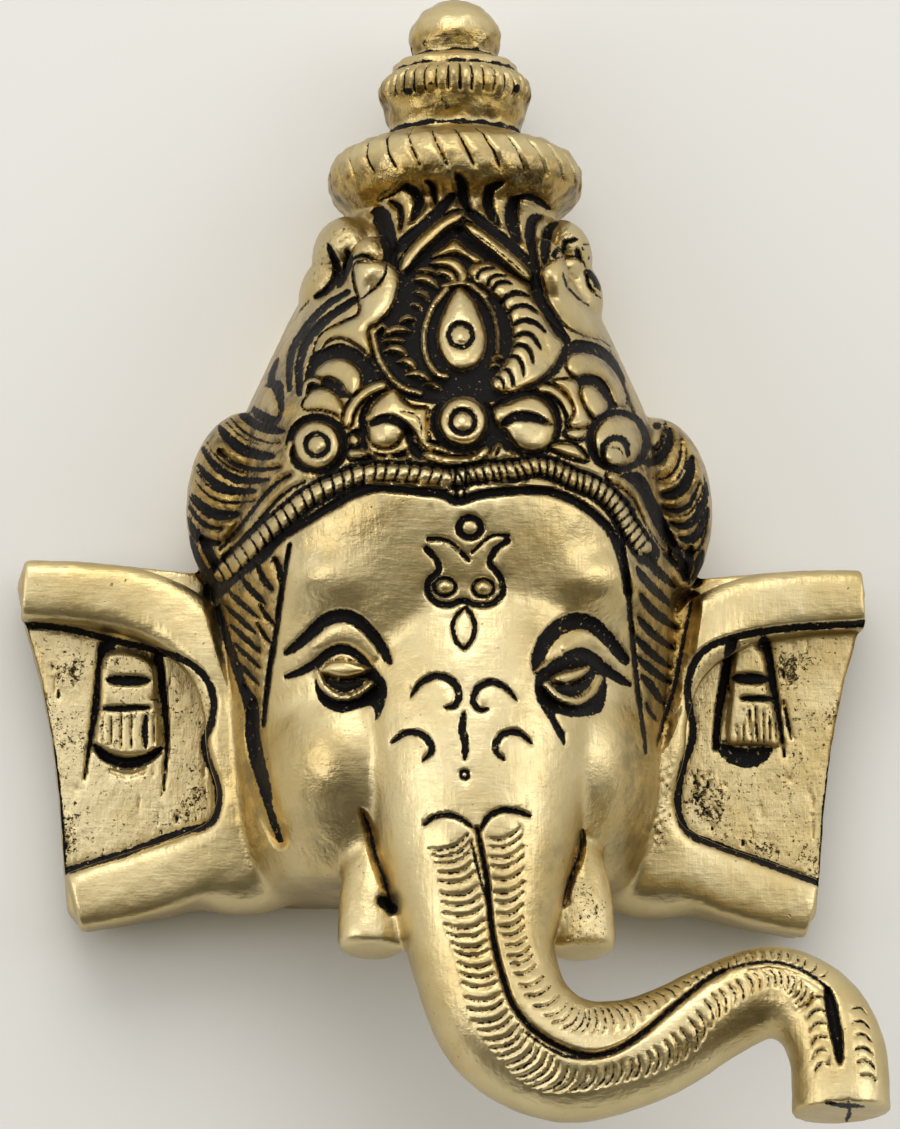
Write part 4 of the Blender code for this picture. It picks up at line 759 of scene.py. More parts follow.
def carveWings(relief):
    relief.usePlane(mask["crownPlane"])
    # painted shadow: the deep gap between the rope strand and the wing is sunk and painted black
    relief.ground(wings["pocket"], 1.6, 0.8)
    for side in (-1, 1):
        lines = [curveThrough(strand, 4) for strand in wings["left" if side < 0 else "right"]]
        for k, (upper, lower) in enumerate(zip(lines, lines[1:])):
            between = (upper + lower)[k % 3:len(upper) - k % 4:2] / 2    # their ends don't line up
            relief.valley(between, 2.2, 1.4, wings["gaps"][k % 5], 0.7)
        for k, line in enumerate(lines):
            if k % 2 == 0:
                relief.cut(line[3 + k % 3::3] + (0.0, 0.25), 0.4, 0.4, 0.7)
        darken(relief, [mirrored(place, side) for place in wings["outline"]], 1.0)
    # black hollows at the wings' feet
    for hollow in wings["feet"]:
        relief.valley(hollow, 2.2, 1.3, 1.5, 0.6)
    # olive strands beside the rope
    relief.valley([(-20.2, 12.4), (-22.0, 11.2), (-23.8, 9.4), (-25.6, 7.0), (-27.4, 4.6), (-29.2, 2.6)],
        1.6, 0.9, 0.7, 0.3)
    relief.valley([(-18.4, 11.6), (-20.4, 10.4), (-22.4, 8.6), (-24.4, 6.2), (-26.8, 3.6), (-28.8, 1.6)],
        1.2, 0.6, 0.6, 0.3)
    relief.bar([(20.0, 12.9), (22.0, 11.9), (23.8, 10.2), (25.0, 7.6), (26.4, 5.0), (28.0, 2.8)],
        1.3, 0.2, moat=0.3, tipShare=0.3)


rope = {
    "course": [(-29.6, -1.2), (-27.4, 0.9), (-25.4, 2.8), (-23.4, 4.8), (-21.0, 6.9), (-18.6, 9.0),
        (-16.0, 10.6), (-13.4, 11.8), (-11.0, 12.6), (-8.0, 12.9), (-5.0, 12.8), (-2.0, 12.5), (0.4, 12.3),
        (3.0, 12.9), (5.6, 13.2), (8.4, 13.4), (11.0, 13.9), (13.4, 13.5), (15.6, 12.4), (18.0, 11.5),
        (20.0, 10.2), (21.6, 8.4), (22.8, 6.2), (24.2, 4.2), (25.2, 2.8)],
    "width": 2.0, "pitchLeft": 1.42, "pitchRight": 1.02, "lean": 0.25,
    "under": [(-29.4, -3.2), (-26.6, -0.4), (-23.8, 1.6), (-21.6, 4.1), (-18.4, 6.3), (-15.2, 8.3),
        (-12.2, 10.0), (-9.0, 10.9), (-5.0, 10.6), (-1.0, 10.2), (1.0, 9.3), (4.0, 10.2), (8.0, 10.7),
        (11.4, 10.8), (14.0, 10.3), (16.6, 9.1), (18.6, 7.6), (20.2, 6.0), (21.3, 4.0), (22.2, 1.0),
        (22.7, -2.2)],
}


def stepsAlong(route):
    return np.concatenate([[0.0], np.cumsum(np.hypot(*np.diff(route, axis=0).T))])


def carveRope(relief):
    relief.usePlane(mask["crownPlane"])
    relief.cut(rope["course"], rope["width"] + 1.4, 1.0)
    relief.cut(rope["under"], 1.25, 1.1)
    relief.bar(rope["course"], rope["width"], 0.9, floor=-0.9, moat=0.2)
    route = curveThrough(rope["course"], 12)
    steps = stepsAlong(route)
    at = 0.6
    while at < steps[-1] - 0.4:
        k = min(int(np.searchsorted(steps, at)), len(route) - 2)
        run = (route[k + 1] - route[k]) / np.linalg.norm(route[k + 1] - route[k])
        across = np.array([-run[1], run[0]]) * rope["width"] * 0.56
        tilt = run * rope["lean"] * (1 if route[k][0] < 0 else -1)
        relief.cut([route[k] - across - tilt, route[k] + run * 0.1, route[k] + across + tilt], 0.42, 0.75)
        at += rope["pitchLeft"] if route[k][0] < 0 else rope["pitchRight"]
    # centre bead and the notch under it
    relief.cut([(0.7, 13.6), (0.8, 12.0), (0.9, 9.6)], 0.5, 0.8)
    relief.cut([(2.1, 13.4), (2.1, 11.8), (1.8, 9.8)], 0.4, 0.7)
    relief.thread([(-10.6, 11.5), (-6.0, 11.4), (-0.4, 11.1)], 0.35, 0.2)
    relief.thread([(5.4, 11.6), (8.0, 11.5), (11.0, 11.6), (14.0, 11.4)], 0.3, 0.1)


face = {
    "brown": [    # painted shade on the smooth face, in brown: outline and strength
        ([(-21.0, 8.0), (-14.0, 11.8), (-4.0, 11.6), (-5.0, 6.0), (-11.0, 3.0), (-19.0, -4.0)], 0.45),
        ([(-22.0, -18.0), (-14.0, -20.0), (-9.0, -22.0), (-10.0, -28.0), (-20.0, -30.0)], 0.3),
        ([(-21.0, -30.0), (-8.0, -34.0), (-8.0, -44.0), (-18.0, -44.0)], 0.3),
        ([(12.0, -32.0), (24.0, -30.0), (22.0, -42.0), (12.0, -42.0)], 0.3),
        ([(9.0, -6.0), (13.0, -4.0), (12.0, -16.0), (8.0, -20.0)], 0.35)],
    "leftEdge": [(-20.3, 3.4), (-20.9, 0.0), (-21.5, -4.0), (-22.0, -8.0), (-22.7, -12.0), (-23.2, -16.0),
        (-23.6, -20.0)],
    "rightEdge": [(21.9, 5.0), (22.4, 1.0), (22.9, -4.0), (23.3, -9.0), (23.8, -14.0), (24.4, -18.6),
        (24.9, -23.0)],
    "leftGap": [(-30.2, -2.8), (-29.2, -6.0), (-27.9, -10.0), (-26.6, -14.0), (-25.4, -18.0), (-24.9, -22.0),
        (-24.0, -26.4), (-22.8, -30.6), (-21.4, -34.6)],
    "rightGap": [(30.8, -3.2), (30.0, -7.0), (29.2, -11.0), (28.4, -15.0), (27.2, -18.6), (26.2, -22.0)],
    # black commas in the hair bands: top, bend, foot, width
    "leftCommas": [((-22.2, 1.6), (-21.6, 0.2), (-21.5, -1.6), 0.9),
        ((-24.4, 0.6), (-23.6, -1.2), (-22.4, -2.6), 1.0), ((-26.6, -0.8), (-25.2, -2.6), (-23.4, -4.4), 1.0),
        ((-28.4, -2.6), (-26.6, -4.2), (-24.2, -6.2), 0.9),
        ((-24.0, -4.6), (-23.2, -6.0), (-22.2, -7.0), 0.8),
        ((-28.6, -4.6), (-26.8, -6.2), (-24.6, -8.2), 0.9),
        ((-24.4, -6.8), (-23.6, -8.2), (-22.6, -9.4), 0.7),
        ((-28.0, -7.0), (-26.2, -8.6), (-24.0, -10.6), 0.9),
        ((-27.4, -9.4), (-26.0, -10.8), (-24.0, -12.6), 0.8),
        ((-26.8, -12.0), (-25.6, -13.2), (-24.2, -14.8), 0.8),
        ((-26.0, -14.8), (-25.2, -16.0), (-24.2, -17.2), 0.7)],
    "rightCommas": [((27.2, 2.8), (29.0, 1.2), (30.8, -1.4), 1.0),
        ((24.6, 2.8), (26.0, 1.0), (28.6, -1.6), 1.3), ((23.8, 1.0), (25.4, -1.2), (28.4, -4.2), 1.3),
        ((24.2, -2.4), (25.8, -4.6), (28.8, -7.0), 1.3), ((23.9, -5.4), (25.6, -7.4), (28.4, -9.6), 1.2),
        ((23.6, -8.0), (25.4, -9.9), (28.0, -12.0), 1.2), ((23.9, -10.6), (25.6, -12.2), (27.8, -13.9), 1.2),
        ((24.3, -12.9), (25.6, -14.4), (27.2, -16.8), 1.2),
        ((24.9, -16.4), (25.4, -17.6), (26.4, -19.0), 0.7)],
}


def carveFace(relief):
    relief.usePlane(mask["crownPlane"])
    # hair bands with a slanting black comma between the gold locks, and the deep gap behind them
    for side in ("left", "right"):
        relief.valley(face[side + "Gap"], 3.4, 1.4, 1.3 if side == "left" else 0.7, 0.4)
        relief.cut(face[side + "Edge"], 0.8, 0.9, 0.3)
        for top, bend, foot, width in face[side + "Commas"]:
            relief.cut([top, bend, foot], width + 1.1, 0.7, 0.6, ink=False)
            relief.cut([top, bend, foot], width, 0.8, 0.75)
    relief.cut([(-24.8, -17.0), (-25.0, -21.0), (-24.2, -25.0), (-22.9, -29.4)], 2.0, 1.2, 0.5)
    darken(relief, [(21.6, 5.0), (33.0, 2.0), (32.0, -10.0), (27.6, -22.0), (24.0, -26.0), (22.6, -10.0)],
        0.85)
    darken(relief, [(-20.0, 4.0), (-31.0, -1.0), (-31.0, -8.0), (-26.0, -24.0), (-22.0, -36.0),
        (-22.0, -12.0)], 0.85)
    # painted shade: brown on the forehead under the rope, the lower cheeks, the jaw and beside the trunk's
    # root
    for outline, amount in face["brown"]:
        darken(relief, outline, amount)
    roughen(relief, [(22.4, 3.6), (30.4, -1.4), (28.0, -14.0), (25.2, -23.4), (23.6, -12.0)],
        0.18, pits=30, seed=6)
    roughen(relief, [(-21.0, 2.4), (-29.6, -3.0), (-26.0, -15.0), (-22.4, -32.0), (-22.4, -12.0)],
        0.18, pits=30, seed=7)
    roughen(relief, [(25.6, -20.6), (28.6, -20.0), (28.8, -30.0), (26.8, -36.0), (24.6, -32.0),
        (24.8, -25.0)], 0.2, pits=24, seed=8)
    # left eye: arched brow, upper fold, deep pocket, lid and lower rim
    relief.cut([(-20.7, -10.6), (-18.8, -9.1), (-16.8, -7.2), (-15.4, -6.1), (-13.6, -5.7), (-12.0, -6.1),
        (-10.4, -7.4), (-8.8, -9.4), (-7.6, -11.6)], 1.9, 0.8, 0.6)
    relief.cut([(-17.6, -10.0), (-15.6, -8.6), (-13.6, -8.0), (-11.6, -8.8), (-9.4, -11.0)],
        2.8, -0.5, 0.8, ink=False)
    relief.cut([(-20.8, -13.7), (-19.2, -13.1), (-17.2, -12.0), (-15.8, -10.9), (-14.2, -10.0),
        (-12.8, -10.1), (-11.4, -11.0), (-9.8, -12.4)], 1.35, 0.8, 0.6)
    relief.ground([(-17.0, -12.6), (-15.0, -11.6), (-12.0, -11.4), (-9.8, -12.2), (-8.2, -13.8),
        (-7.9, -15.6), (-8.6, -18.0), (-9.4, -19.2), (-9.9, -17.4), (-11.4, -17.6), (-13.6, -18.2),
        (-15.6, -17.6), (-16.9, -16.0)], 1.5, 1.3)
    relief.pad([(-16.5, -12.9), (-15.4, -11.7), (-13.4, -11.3), (-11.6, -11.8), (-9.9, -12.5), (-11.6, -13.4),
        (-13.4, -13.8), (-15.2, -13.5)], 1.0, 1.0, -0.9, 0.1)
    relief.cut([(-16.0, -13.9), (-13.4, -14.2), (-10.6, -13.6)], 0.5, 0.6, 0.5)
    relief.pad([(-16.0, -13.7), (-15.0, -15.1), (-13.4, -15.7), (-11.6, -15.1), (-10.4, -13.7),
        (-13.2, -14.1)], 0.5, 1.4, -0.9, 0.0)
    paintBlack(relief, [(-16.0, -13.8), (-15.0, -15.0), (-13.4, -15.6), (-11.6, -15.0), (-10.5, -13.8),
        (-13.2, -14.1)])
    relief.thread([(-16.8, -13.1), (-16.2, -14.5), (-15.0, -15.7), (-13.5, -16.2), (-11.8, -15.8),
        (-10.1, -14.5)], 0.75, 1.0)
    # right eye
    relief.cut([(11.2, -12.6), (11.3, -10.6), (12.4, -8.4), (14.2, -6.7), (16.6, -6.0), (18.6, -6.8),
        (20.4, -8.6), (22.4, -11.2)], 2.2, 0.9, 0.5)
    relief.cut([(14.6, -9.6), (16.4, -8.5), (18.2, -8.4), (19.8, -9.8)], 2.2, -0.5, 0.6, ink=False)
    relief.cut([(12.6, -12.0), (14.6, -10.9), (16.8, -10.2), (18.6, -11.2), (20.4, -12.7), (22.8, -14.2)],
        1.7, 0.8, 0.6)
    relief.ground([(10.9, -13.0), (12.0, -12.0), (14.6, -11.0), (17.6, -10.8), (19.6, -12.4), (20.0, -15.0),
        (19.4, -17.6), (17.6, -18.3), (15.2, -18.4), (13.4, -18.0), (14.8, -20.8), (14.4, -22.0),
        (12.6, -18.8), (11.0, -16.0)], 1.5, 1.3)
    relief.pad([(12.7, -13.7), (14.0, -12.7), (16.0, -12.2), (17.8, -11.9), (16.8, -13.2), (14.8, -14.1)],
        0.9, 0.8, -0.9, 0.1)
    relief.cut([(12.9, -14.1), (15.0, -14.4), (17.2, -13.5)], 0.5, 0.6, 0.5)
    relief.pad([(12.8, -14.4), (14.6, -15.8), (16.4, -15.7), (17.9, -14.5), (18.5, -13.1), (16.0, -14.1)],
        0.5, 1.4, -0.9, 0.0)
    paintBlack(relief, [(12.8, -14.4), (14.6, -15.7), (16.4, -15.6), (17.8, -14.4), (18.4, -13.1),
        (16.0, -14.1)])
    relief.thread([(12.3, -14.3), (13.6, -15.6), (15.2, -16.3), (16.8, -16.2), (18.2, -15.1), (19.1, -13.4)],
        0.75, 1.0)
    relief.thread([(11.1, -12.5), (12.4, -11.2), (14.2, -10.4)], 0.35, 0.4)
    carveMark(relief)
    carveOrnament(relief)
    # shadow grooves beside the trunk's root, and the tusks' notches
    relief.usePlane(mask["trunkPlane"])
    relief.valley([(-12.6, -34.4), (-11.6, -37.0), (-10.9, -40.0), (-9.6, -43.6), (-9.0, -46.8)],
        1.6, 1.0, 0.6, 0.5)
    relief.valley([(14.4, -36.6), (14.2, -39.4), (13.0, -42.4), (12.0, -46.0)], 1.4, 0.9, 0.5, 0.5)
    relief.cut([(-10.1, -45.5), (-8.8, -46.5)], 1.5, 1.0)
    roughen(relief, [(13.6, -42.0), (17.6, -45.0), (17.6, -50.4), (12.4, -50.8), (11.4, -46.0)],
        0.12, pits=12, seed=12)


def paintGold(relief, outline, edge):
    # bare metal inside an outline, with paint left along its rim
    _, chosen, far, inside = relief.within(outline)
    relief.ink[chosen] = np.where(inside, np.minimum(relief.ink[chosen], edge - far), relief.ink[chosen])
    relief.level[chosen] = np.where(inside, relief.raised[chosen], relief.level[chosen])


def paintBlack(relief, outline):
    _, chosen, far, inside = relief.within(outline)
    relief.ink[chosen] = np.where(inside, np.maximum(relief.ink[chosen], far), relief.ink[chosen])


def carveMark(relief):
    # forehead mark: ring, horns, two coils and a leaf drop
    relief.usePlane(mask["crownPlane"])
    relief.cut(ringOf((2.6, 5.9), 1.4, 1.3), 1.05, 0.8, closed=True)
    relief.cut([(-2.6, 4.3), (-0.6, 4.2), (1.0, 3.2), (2.4, 1.7)], 0.9, 0.7, -0.1)
    relief.thread([(-2.2, 4.0), (-0.4, 3.8), (1.2, 2.8)], 0.22, 0.1)
    relief.cut([(-2.9, 3.1), (-1.6, 1.6), (-1.4, 0.2), (-2.6, -1.0), (-2.8, -2.6), (-1.6, -3.9), (0.0, -4.1),
        (1.4, -3.6)], 0.95, 0.7)
    relief.cut([(7.5, 4.9), (5.6, 4.9), (4.2, 4.0), (2.8, 2.6)], 0.55, 0.6)
    relief.cut([(7.4, 4.2), (6.0, 3.2), (5.1, 1.4), (5.9, 0.4), (6.6, -0.8), (6.7, -2.6), (5.4, -3.9),
        (3.6, -4.1), (1.8, -3.6)], 0.95, 0.7)
    for middle in ((-0.6, -1.8), (4.3, -1.9)):
        relief.cut(ringOf(middle, 1.35, 1.15), 0.6, 0.6, closed=True)
        relief.pad(ringOf(middle, 0.95, 0.85), 0.8, 0.9, -0.2, 0.0, ink=False)
    relief.cut([(1.7, -4.6), (0.7, -5.8), (0.4, -7.2), (0.9, -8.8), (1.9, -9.9)], 0.7, 0.7, 0.3)
    relief.cut([(2.1, -4.5), (2.9, -5.6), (3.2, -7.0), (2.9, -8.4), (2.1, -9.6)], 0.8, 0.7, 0.3)


def carveOrnament(relief):
    # generic curled tendrils where the photo has lettering
    relief.usePlane(mask["crownPlane"])
    relief.cut([(-4.9, -16.0), (-3.6, -14.2), (-1.6, -13.3), (0.3, -13.9), (1.2, -15.4), (0.8, -17.0),
        (-0.6, -17.4)], 1.1, 0.7, 0.75)
    relief.cut([(8.6, -16.4), (7.2, -14.8), (5.4, -14.0), (3.6, -14.8), (3.0, -16.4), (3.8, -17.6),
        (5.0, -17.4)], 1.0, 0.7, 0.75)
    relief.cut([(1.9, -17.8), (1.6, -19.8), (2.0, -21.8), (1.9, -24.2)], 1.2, 0.7, 0.9)
    relief.cut([(-7.4, -22.0), (-5.4, -20.6), (-3.2, -21.0), (-2.2, -22.8), (-3.4, -24.2)], 1.0, 0.7, 0.7)
    relief.cut([(10.4, -21.8), (8.6, -20.4), (6.6, -20.8), (5.8, -22.6), (7.0, -24.0)], 1.0, 0.7, 0.7)
    relief.cut(ringOf((1.9, -25.9), 0.5), 0.6, 0.6, closed=True)


ears = {
    "outerEdge": [(48.6, -36.4), (49.2, -28.0), (50.4, -20.0), (52.2, -12.0), (54.2, -6.0)],
    "root": [(22.0, -1.0), (30.0, -2.6), (31.0, -6.0), (28.2, -12.0), (28.0, -22.0), (27.4, -34.0),
        (22.0, -37.0)],
    "leftBorder": [(-54.2, -5.4), (-50.0, -5.6), (-46.0, -6.3), (-42.0, -7.3), (-38.0, -8.2), (-34.0, -9.4),
        (-31.5, -10.8), (-30.1, -12.6), (-29.4, -15.0), (-29.7, -17.8), (-30.6, -20.2), (-30.2, -22.4),
        (-29.1, -25.0), (-28.7, -27.6), (-29.2, -30.0), (-30.6, -31.2), (-33.2, -31.9), (-37.0, -33.3),
        (-41.0, -34.9), (-45.0, -36.1), (-49.2, -37.5)],
    "rightBorder": [(54.6, -3.9), (50.0, -4.2), (46.0, -4.5), (42.0, -5.0), (38.0, -5.8), (34.5, -7.1),
        (32.5, -9.0), (31.5, -12.0), (31.6, -15.0), (32.1, -17.6), (31.9, -19.8), (31.0, -22.2),
        (30.3, -25.0), (30.1, -28.0), (30.8, -30.6), (32.4, -32.0), (35.4, -33.1), (39.0, -34.4),
        (43.0, -35.8), (48.2, -37.7)],
}


def carveEars(relief):
    relief.usePlane(mask["earPlane"])
    for side, border in ((-1, ears["leftBorder"]), (1, ears["rightBorder"])):
        panel = border + [mirrored(place, side) for place in ears["outerEdge"]]
        relief.ground(panel, 0.9, 0.5)
        paintGold(relief, panel, 0.55)
        roughen(relief, panel, 0.06, 3.0, pits=40, black=0.2, seed=20 + side)
        relief.cut(border, 1.0, 0.7)
        # painted shade: brown in the valley where the ear meets the face
        darken(relief, [mirrored(place, side) for place in ears["root"]], 0.6)
    # left pendant
    relief.cut([(-43.2, -8.2), (-43.9, -12.0), (-44.7, -17.0), (-45.9, -25.2)], 2.3, 1.0, -0.85)
    relief.cut([(-36.6, -9.4), (-35.9, -14.0), (-35.4, -20.0), (-35.8, -26.6)], 1.4, 0.9, -0.75)
    relief.pad([(-43.2, -9.0), (-37.4, -9.8), (-36.6, -15.0), (-36.2, -21.0), (-38.2, -22.2), (-40.6, -22.4),
        (-43.0, -21.8), (-44.6, -20.8), (-44.0, -16.0)], 0.5, 0.8, -1.0, 0.15)
    relief.cut([(-43.0, -12.4), (-40.4, -12.5), (-37.8, -12.4)], 1.5, 0.9, 0.6)
    relief.cut([(-43.6, -16.1), (-41.0, -16.1), (-37.6, -15.9)], 0.9, 0.8, 0.5)
    relief.cut([(-37.6, -14.9), (-36.8, -15.0)], 0.3, 0.4)
    for x, low, width in ((-43.6, -20.4, 0.4), (-42.4, -21.0, 0.35), (-41.2, -21.2, 0.3),
                          (-39.9, -21.2, 0.35), (-38.1, -21.0, 0.9), (-37.0, -20.6, 0.3)):
        relief.cut([(x, -17.0), (x - 0.1, -19.0), (x, low)], width, 0.5, 0.5)
    relief.cut([(-44.6, -20.9), (-43.0, -22.4), (-40.6, -23.1), (-38.2, -22.6), (-36.2, -21.2)],
        1.5, 1.0, 0.6)
    relief.cut([(-42.8, -24.0), (-40.4, -24.7), (-38.0, -23.9)], 0.9, 0.5, 0.6, ink=False)
    # right pendant
    relief.cut([(37.2, -6.6), (36.3, -11.0), (35.4, -16.0), (35.0, -20.4)], 1.5, 1.0, -0.4)
    relief.cut([(41.4, -6.6), (42.2, -10.5), (43.0, -15.0), (43.9, -21.4)], 1.7, 0.9, -0.8)
    relief.cut([(43.8, -14.0), (44.8, -19.2)], 0.6, 0.6, 0.7)
    relief.pad([(37.6, -7.6), (41.0, -7.4), (42.0, -13.0), (43.2, -19.6), (41.0, -20.0), (38.6, -20.0),
        (36.4, -19.6), (36.8, -14.0)], 0.5, 0.8, -1.0, 0.15)
    relief.cut([(37.2, -11.3), (39.6, -11.3), (41.9, -11.4)], 1.6, 0.9, 0.8)
    relief.cut([(38.3, -13.9), (40.4, -13.9), (42.5, -13.9)], 0.9, 0.8, 0.5)
    for x, top, width in ((37.6, -17.4, 0.3), (38.5, -17.6, 0.3), (39.4, -15.4, 0.35), (40.2, -15.0, 0.45),
                          (41.1, -15.0, 0.3), (41.9, -15.0, 0.35), (42.7, -16.6, 0.3)):
        relief.cut([(x, top), (x + 0.1, -17.6), (x + 0.2, -19.6)], width, 0.5, 0.5)
    relief.ground([(34.8, -19.6), (38.6, -20.3), (42.4, -20.2), (41.6, -22.0), (39.4, -23.0), (37.0, -22.6),
        (35.6, -21.2)], 1.2, 0.6)
    # pitted patches where paint has stayed
    for outline, count, seed in (([(-50.6, -10.0), (-46.0, -9.0), (-46.4, -13.4), (-50.2, -13.6)], 26, 31),
                                 ([(-49.6, -29.0), (-46.6, -30.0), (-46.2, -34.4), (-49.4, -35.0)], 30, 32),
                                 ([(-35.6, -29.4), (-31.0, -25.0), (-29.8, -29.6), (-33.6, -31.4)], 36, 33),
                                 ([(33.0, -23.0), (36.6, -25.0), (36.0, -30.4), (32.6, -29.8), (31.2, -26.0)],
                                     70, 34),
                                 ([(42.6, -8.4), (45.6, -8.0), (46.2, -12.0), (43.4, -11.6)], 22, 35),
                                 ([(36.0, -31.6), (42.0, -32.4), (44.8, -34.6), (40.0, -34.0)], 24, 36)):
        roughen(relief, outline, 0.08, 1.6, pits=count // 3, black=0.85, seed=seed, wear=1.9)


trunk = {
    "groove": [(1.6, -36.4), (2.2, -39.4), (2.8, -42.6), (3.1, -46.0), (3.4, -49.0), (4.0, -52.0),
        (4.7, -54.6), (5.7, -57.6), (7.3, -60.0), (9.5, -62.0), (12.0, -63.4), (15.0, -64.3), (17.6, -64.0),
        (20.0, -62.9), (22.5, -61.1), (25.0, -58.9), (27.5, -56.8), (30.0, -54.8), (32.0, -53.8)],
    "ridge": [(32.0, -53.7), (35.0, -52.9), (38.0, -52.6), (41.0, -53.3), (43.4, -54.6), (44.8, -55.8)],
    "leftInner": [(0.5, -37.1), (1.2, -40.0), (2.1, -44.0), (2.7, -48.0), (3.2, -51.4), (4.2, -55.0),
        (5.2, -58.0), (6.8, -60.4), (8.6, -62.2), (10.6, -64.2), (13.0, -65.8), (16.2, -66.0), (19.0, -65.2),
        (21.8, -64.2), (24.6, -62.4), (27.4, -60.0), (30.0, -57.0), (32.8, -55.4), (35.6, -53.8),
        (38.4, -53.6), (41.0, -54.6), (43.0, -56.4)],
    "leftOuter": [(-4.4, -39.0), (-3.3, -41.6), (-2.9, -45.0), (-2.4, -48.6), (-1.2, -51.6), (-0.3, -55.2),
        (0.6, -59.4), (2.6, -62.6), (4.9, -65.4), (7.0, -67.4), (10.0, -68.8), (14.4, -68.6), (18.2, -67.8),
        (21.4, -67.0), (24.8, -65.8), (28.2, -63.8), (30.8, -60.2), (33.6, -57.8), (36.4, -56.0),
        (38.8, -55.6), (40.2, -56.8), (41.2, -58.4)],
    "leftCuts": 58,
    "brown": [(10.0, -36.0), (14.0, -38.0), (12.0, -46.0), (13.0, -54.0), (22.0, -58.0), (14.0, -60.0),
        (8.6, -52.0), (7.6, -42.0)],
    "underTip": [(24.0, -62.0), (31.0, -57.0), (38.0, -55.0), (41.0, -58.0), (34.0, -62.0), (27.0, -66.0)],
    "rightInner": [(2.9, -37.6), (3.3, -40.8), (3.6, -44.6), (4.2, -48.2), (5.1, -51.4), (6.0, -54.4),
        (8.0, -57.8), (11.0, -60.6), (14.0, -61.6), (17.3, -61.5), (20.8, -60.8), (23.4, -58.6),
        (26.0, -57.0), (28.6, -55.2), (31.0, -54.0), (33.4, -53.1), (36.0, -52.5), (38.6, -52.3),
        (41.2, -53.0), (43.8, -54.4)],
    "rightOuter": [(6.9, -36.3), (7.3, -39.4), (7.4, -43.2), (7.2, -47.0), (7.9, -50.4), (8.9, -53.2),
        (11.2, -56.6), (13.6, -58.3), (15.2, -58.7), (16.8, -58.3), (18.8, -57.9), (21.6, -57.1),
        (24.6, -56.0), (27.6, -54.8), (30.2, -53.0), (32.8, -51.9), (35.6, -51.3), (38.6, -51.1),
        (41.6, -51.9), (44.8, -53.8)],
    "rightCuts": 50,
}


def rowOfCuts(relief, inner, outer, count, bulge, width):
    nearGuide, farGuide = curveThrough(inner, 12), curveThrough(outer, 12)
    for share in np.linspace(0.0, 1.0, count):
        a = nearGuide[int(share * (len(nearGuide) - 1))]
        b = farGuide[int(share * (len(farGuide) - 1))]
        across = b - a
        back = np.array([across[1], -across[0]]) * bulge
        arc = [a, a + across * 0.35 + back, a + across * 0.72 + back * 0.8, b]
        relief.cut(arc, width, 0.45, 0.6, painted=0.45)


def carveTrunk(relief):
    relief.usePlane(mask["trunkPlane"])
    relief.cut(trunk["groove"], 1.3, 0.5, 0.3, ink=False)
    relief.cut(trunk["groove"], 0.8, 0.8, 0.3)
    # painted shade: the trunk's right side and the part under its tip are darkened brown
    darken(relief, trunk["brown"], 0.45)
    darken(relief, trunk["underTip"], 0.5)
    relief.cut([(0.9, -38.0), (1.5, -40.6), (2.2, -43.4), (3.0, -45.6)], 0.45, 0.6, 0.3)
    relief.cut([(7.6, -61.6), (10.0, -63.2), (12.4, -64.4), (15.4, -64.8)], 0.5, 0.6, 0.4)
    relief.cut(trunk["ridge"], 0.5, 0.5, 0.2)
    relief.cut([(x, y - 0.75) for x, y in trunk["ridge"][1:]], 0.3, 0.35, 0.2, ink=False)
    relief.cut([(-5.1, -36.1), (-3.6, -35.0), (-1.6, -34.8), (-0.1, -35.4), (1.1, -36.3)], 0.8, 0.7, 0.6)
    relief.cut([(2.0, -36.6), (2.9, -35.0), (4.6, -34.1), (6.4, -34.2), (8.2, -34.8)], 0.9, 0.8, 0.6)
    rowOfCuts(relief, trunk["leftInner"], trunk["leftOuter"], trunk["leftCuts"], -0.16, 0.72)
    rowOfCuts(relief, trunk["rightInner"], trunk["rightOuter"], trunk["rightCuts"], 0.16, 0.72)
    # deep groove over the tip and the short arcs beside it
    relief.cut([(44.7, -55.6), (45.1, -57.4), (45.6, -60.0), (46.0, -62.4), (46.3, -65.2)], 1.6, 1.5, 0.85)
    for k in range(6):
        y = -57.0 - 1.65 * k
        left = [(44.6 + 0.1 * k, y), (43.2 + 0.12 * k, y + 0.1), (42.0 + 0.2 * k, y - 1.1)]
        right = [(47.6 + 0.15 * k, y - 1.4), (48.8 + 0.2 * k, y - 1.2), (49.8 + 0.2 * k, y - 2.1)]
        relief.cut(left, 0.32, 0.35, 0.7)
        relief.cut(right, 0.36, 0.4, 0.7)
    # nostrils on the end face
    relief.cut([(44.6, -69.9), (46.4, -70.2), (49.2, -70.3)], 0.7, 0.6, 0.4)
    relief.cut([(47.3, -69.6), (47.4, -71.0), (47.0, -72.2)], 0.6, 0.6, 0.5)


rings = {    # the finial's two notched rings; sharp narrows a notch
    "rope": {"height": 54.0, "half": 3.4, "notches": 29, "depth": 0.75, "slant": 0.10, "sharp": 20.0},
    "notched": {"height": 64.4, "half": 2.0, "notches": 38, "depth": 0.7, "slant": 0.0, "sharp": 5.0},
}
ageing = {
    "notchPaint": 0.55,    # share of a notch's depth from which paint has stayed
    "hammering": 0.22, "finialFrom": 44.0, "finialFade": 6.0, "elsewhere": 0.25,
    "finialReach": 12.0, "blackLines": [(58.6, 0.35), (66.7, 0.25), (68.7, 0.3)],    # height and thickness
    "blotsFrom": 60.0, "blotLevel": 0.45, "flankClearing": 3.0,
}


def ringNotches(places, ring):
    # 0 to 1 share of the notch at each place
    x, y, z = places.T
    x, z = x - mask["finialAxis"][0], z - mask["finialAxis"][1]
    out = np.hypot(x, z)
    off = (y - ring["height"]) / ring["half"]
    turn = np.arctan2(x, z) + ring["slant"] * off
    wave = (0.5 + 0.5 * np.cos(turn * ring["notches"])) ** ring["sharp"]
    wave *= 0.88 + 0.12 * np.sin(turn * 7.0 + 1.0)    # some are cut shallower
    fade = np.clip((1 - off ** 2) * 2.5, 0.0, 1.0) * (out > 7.0)
    return wave * fade


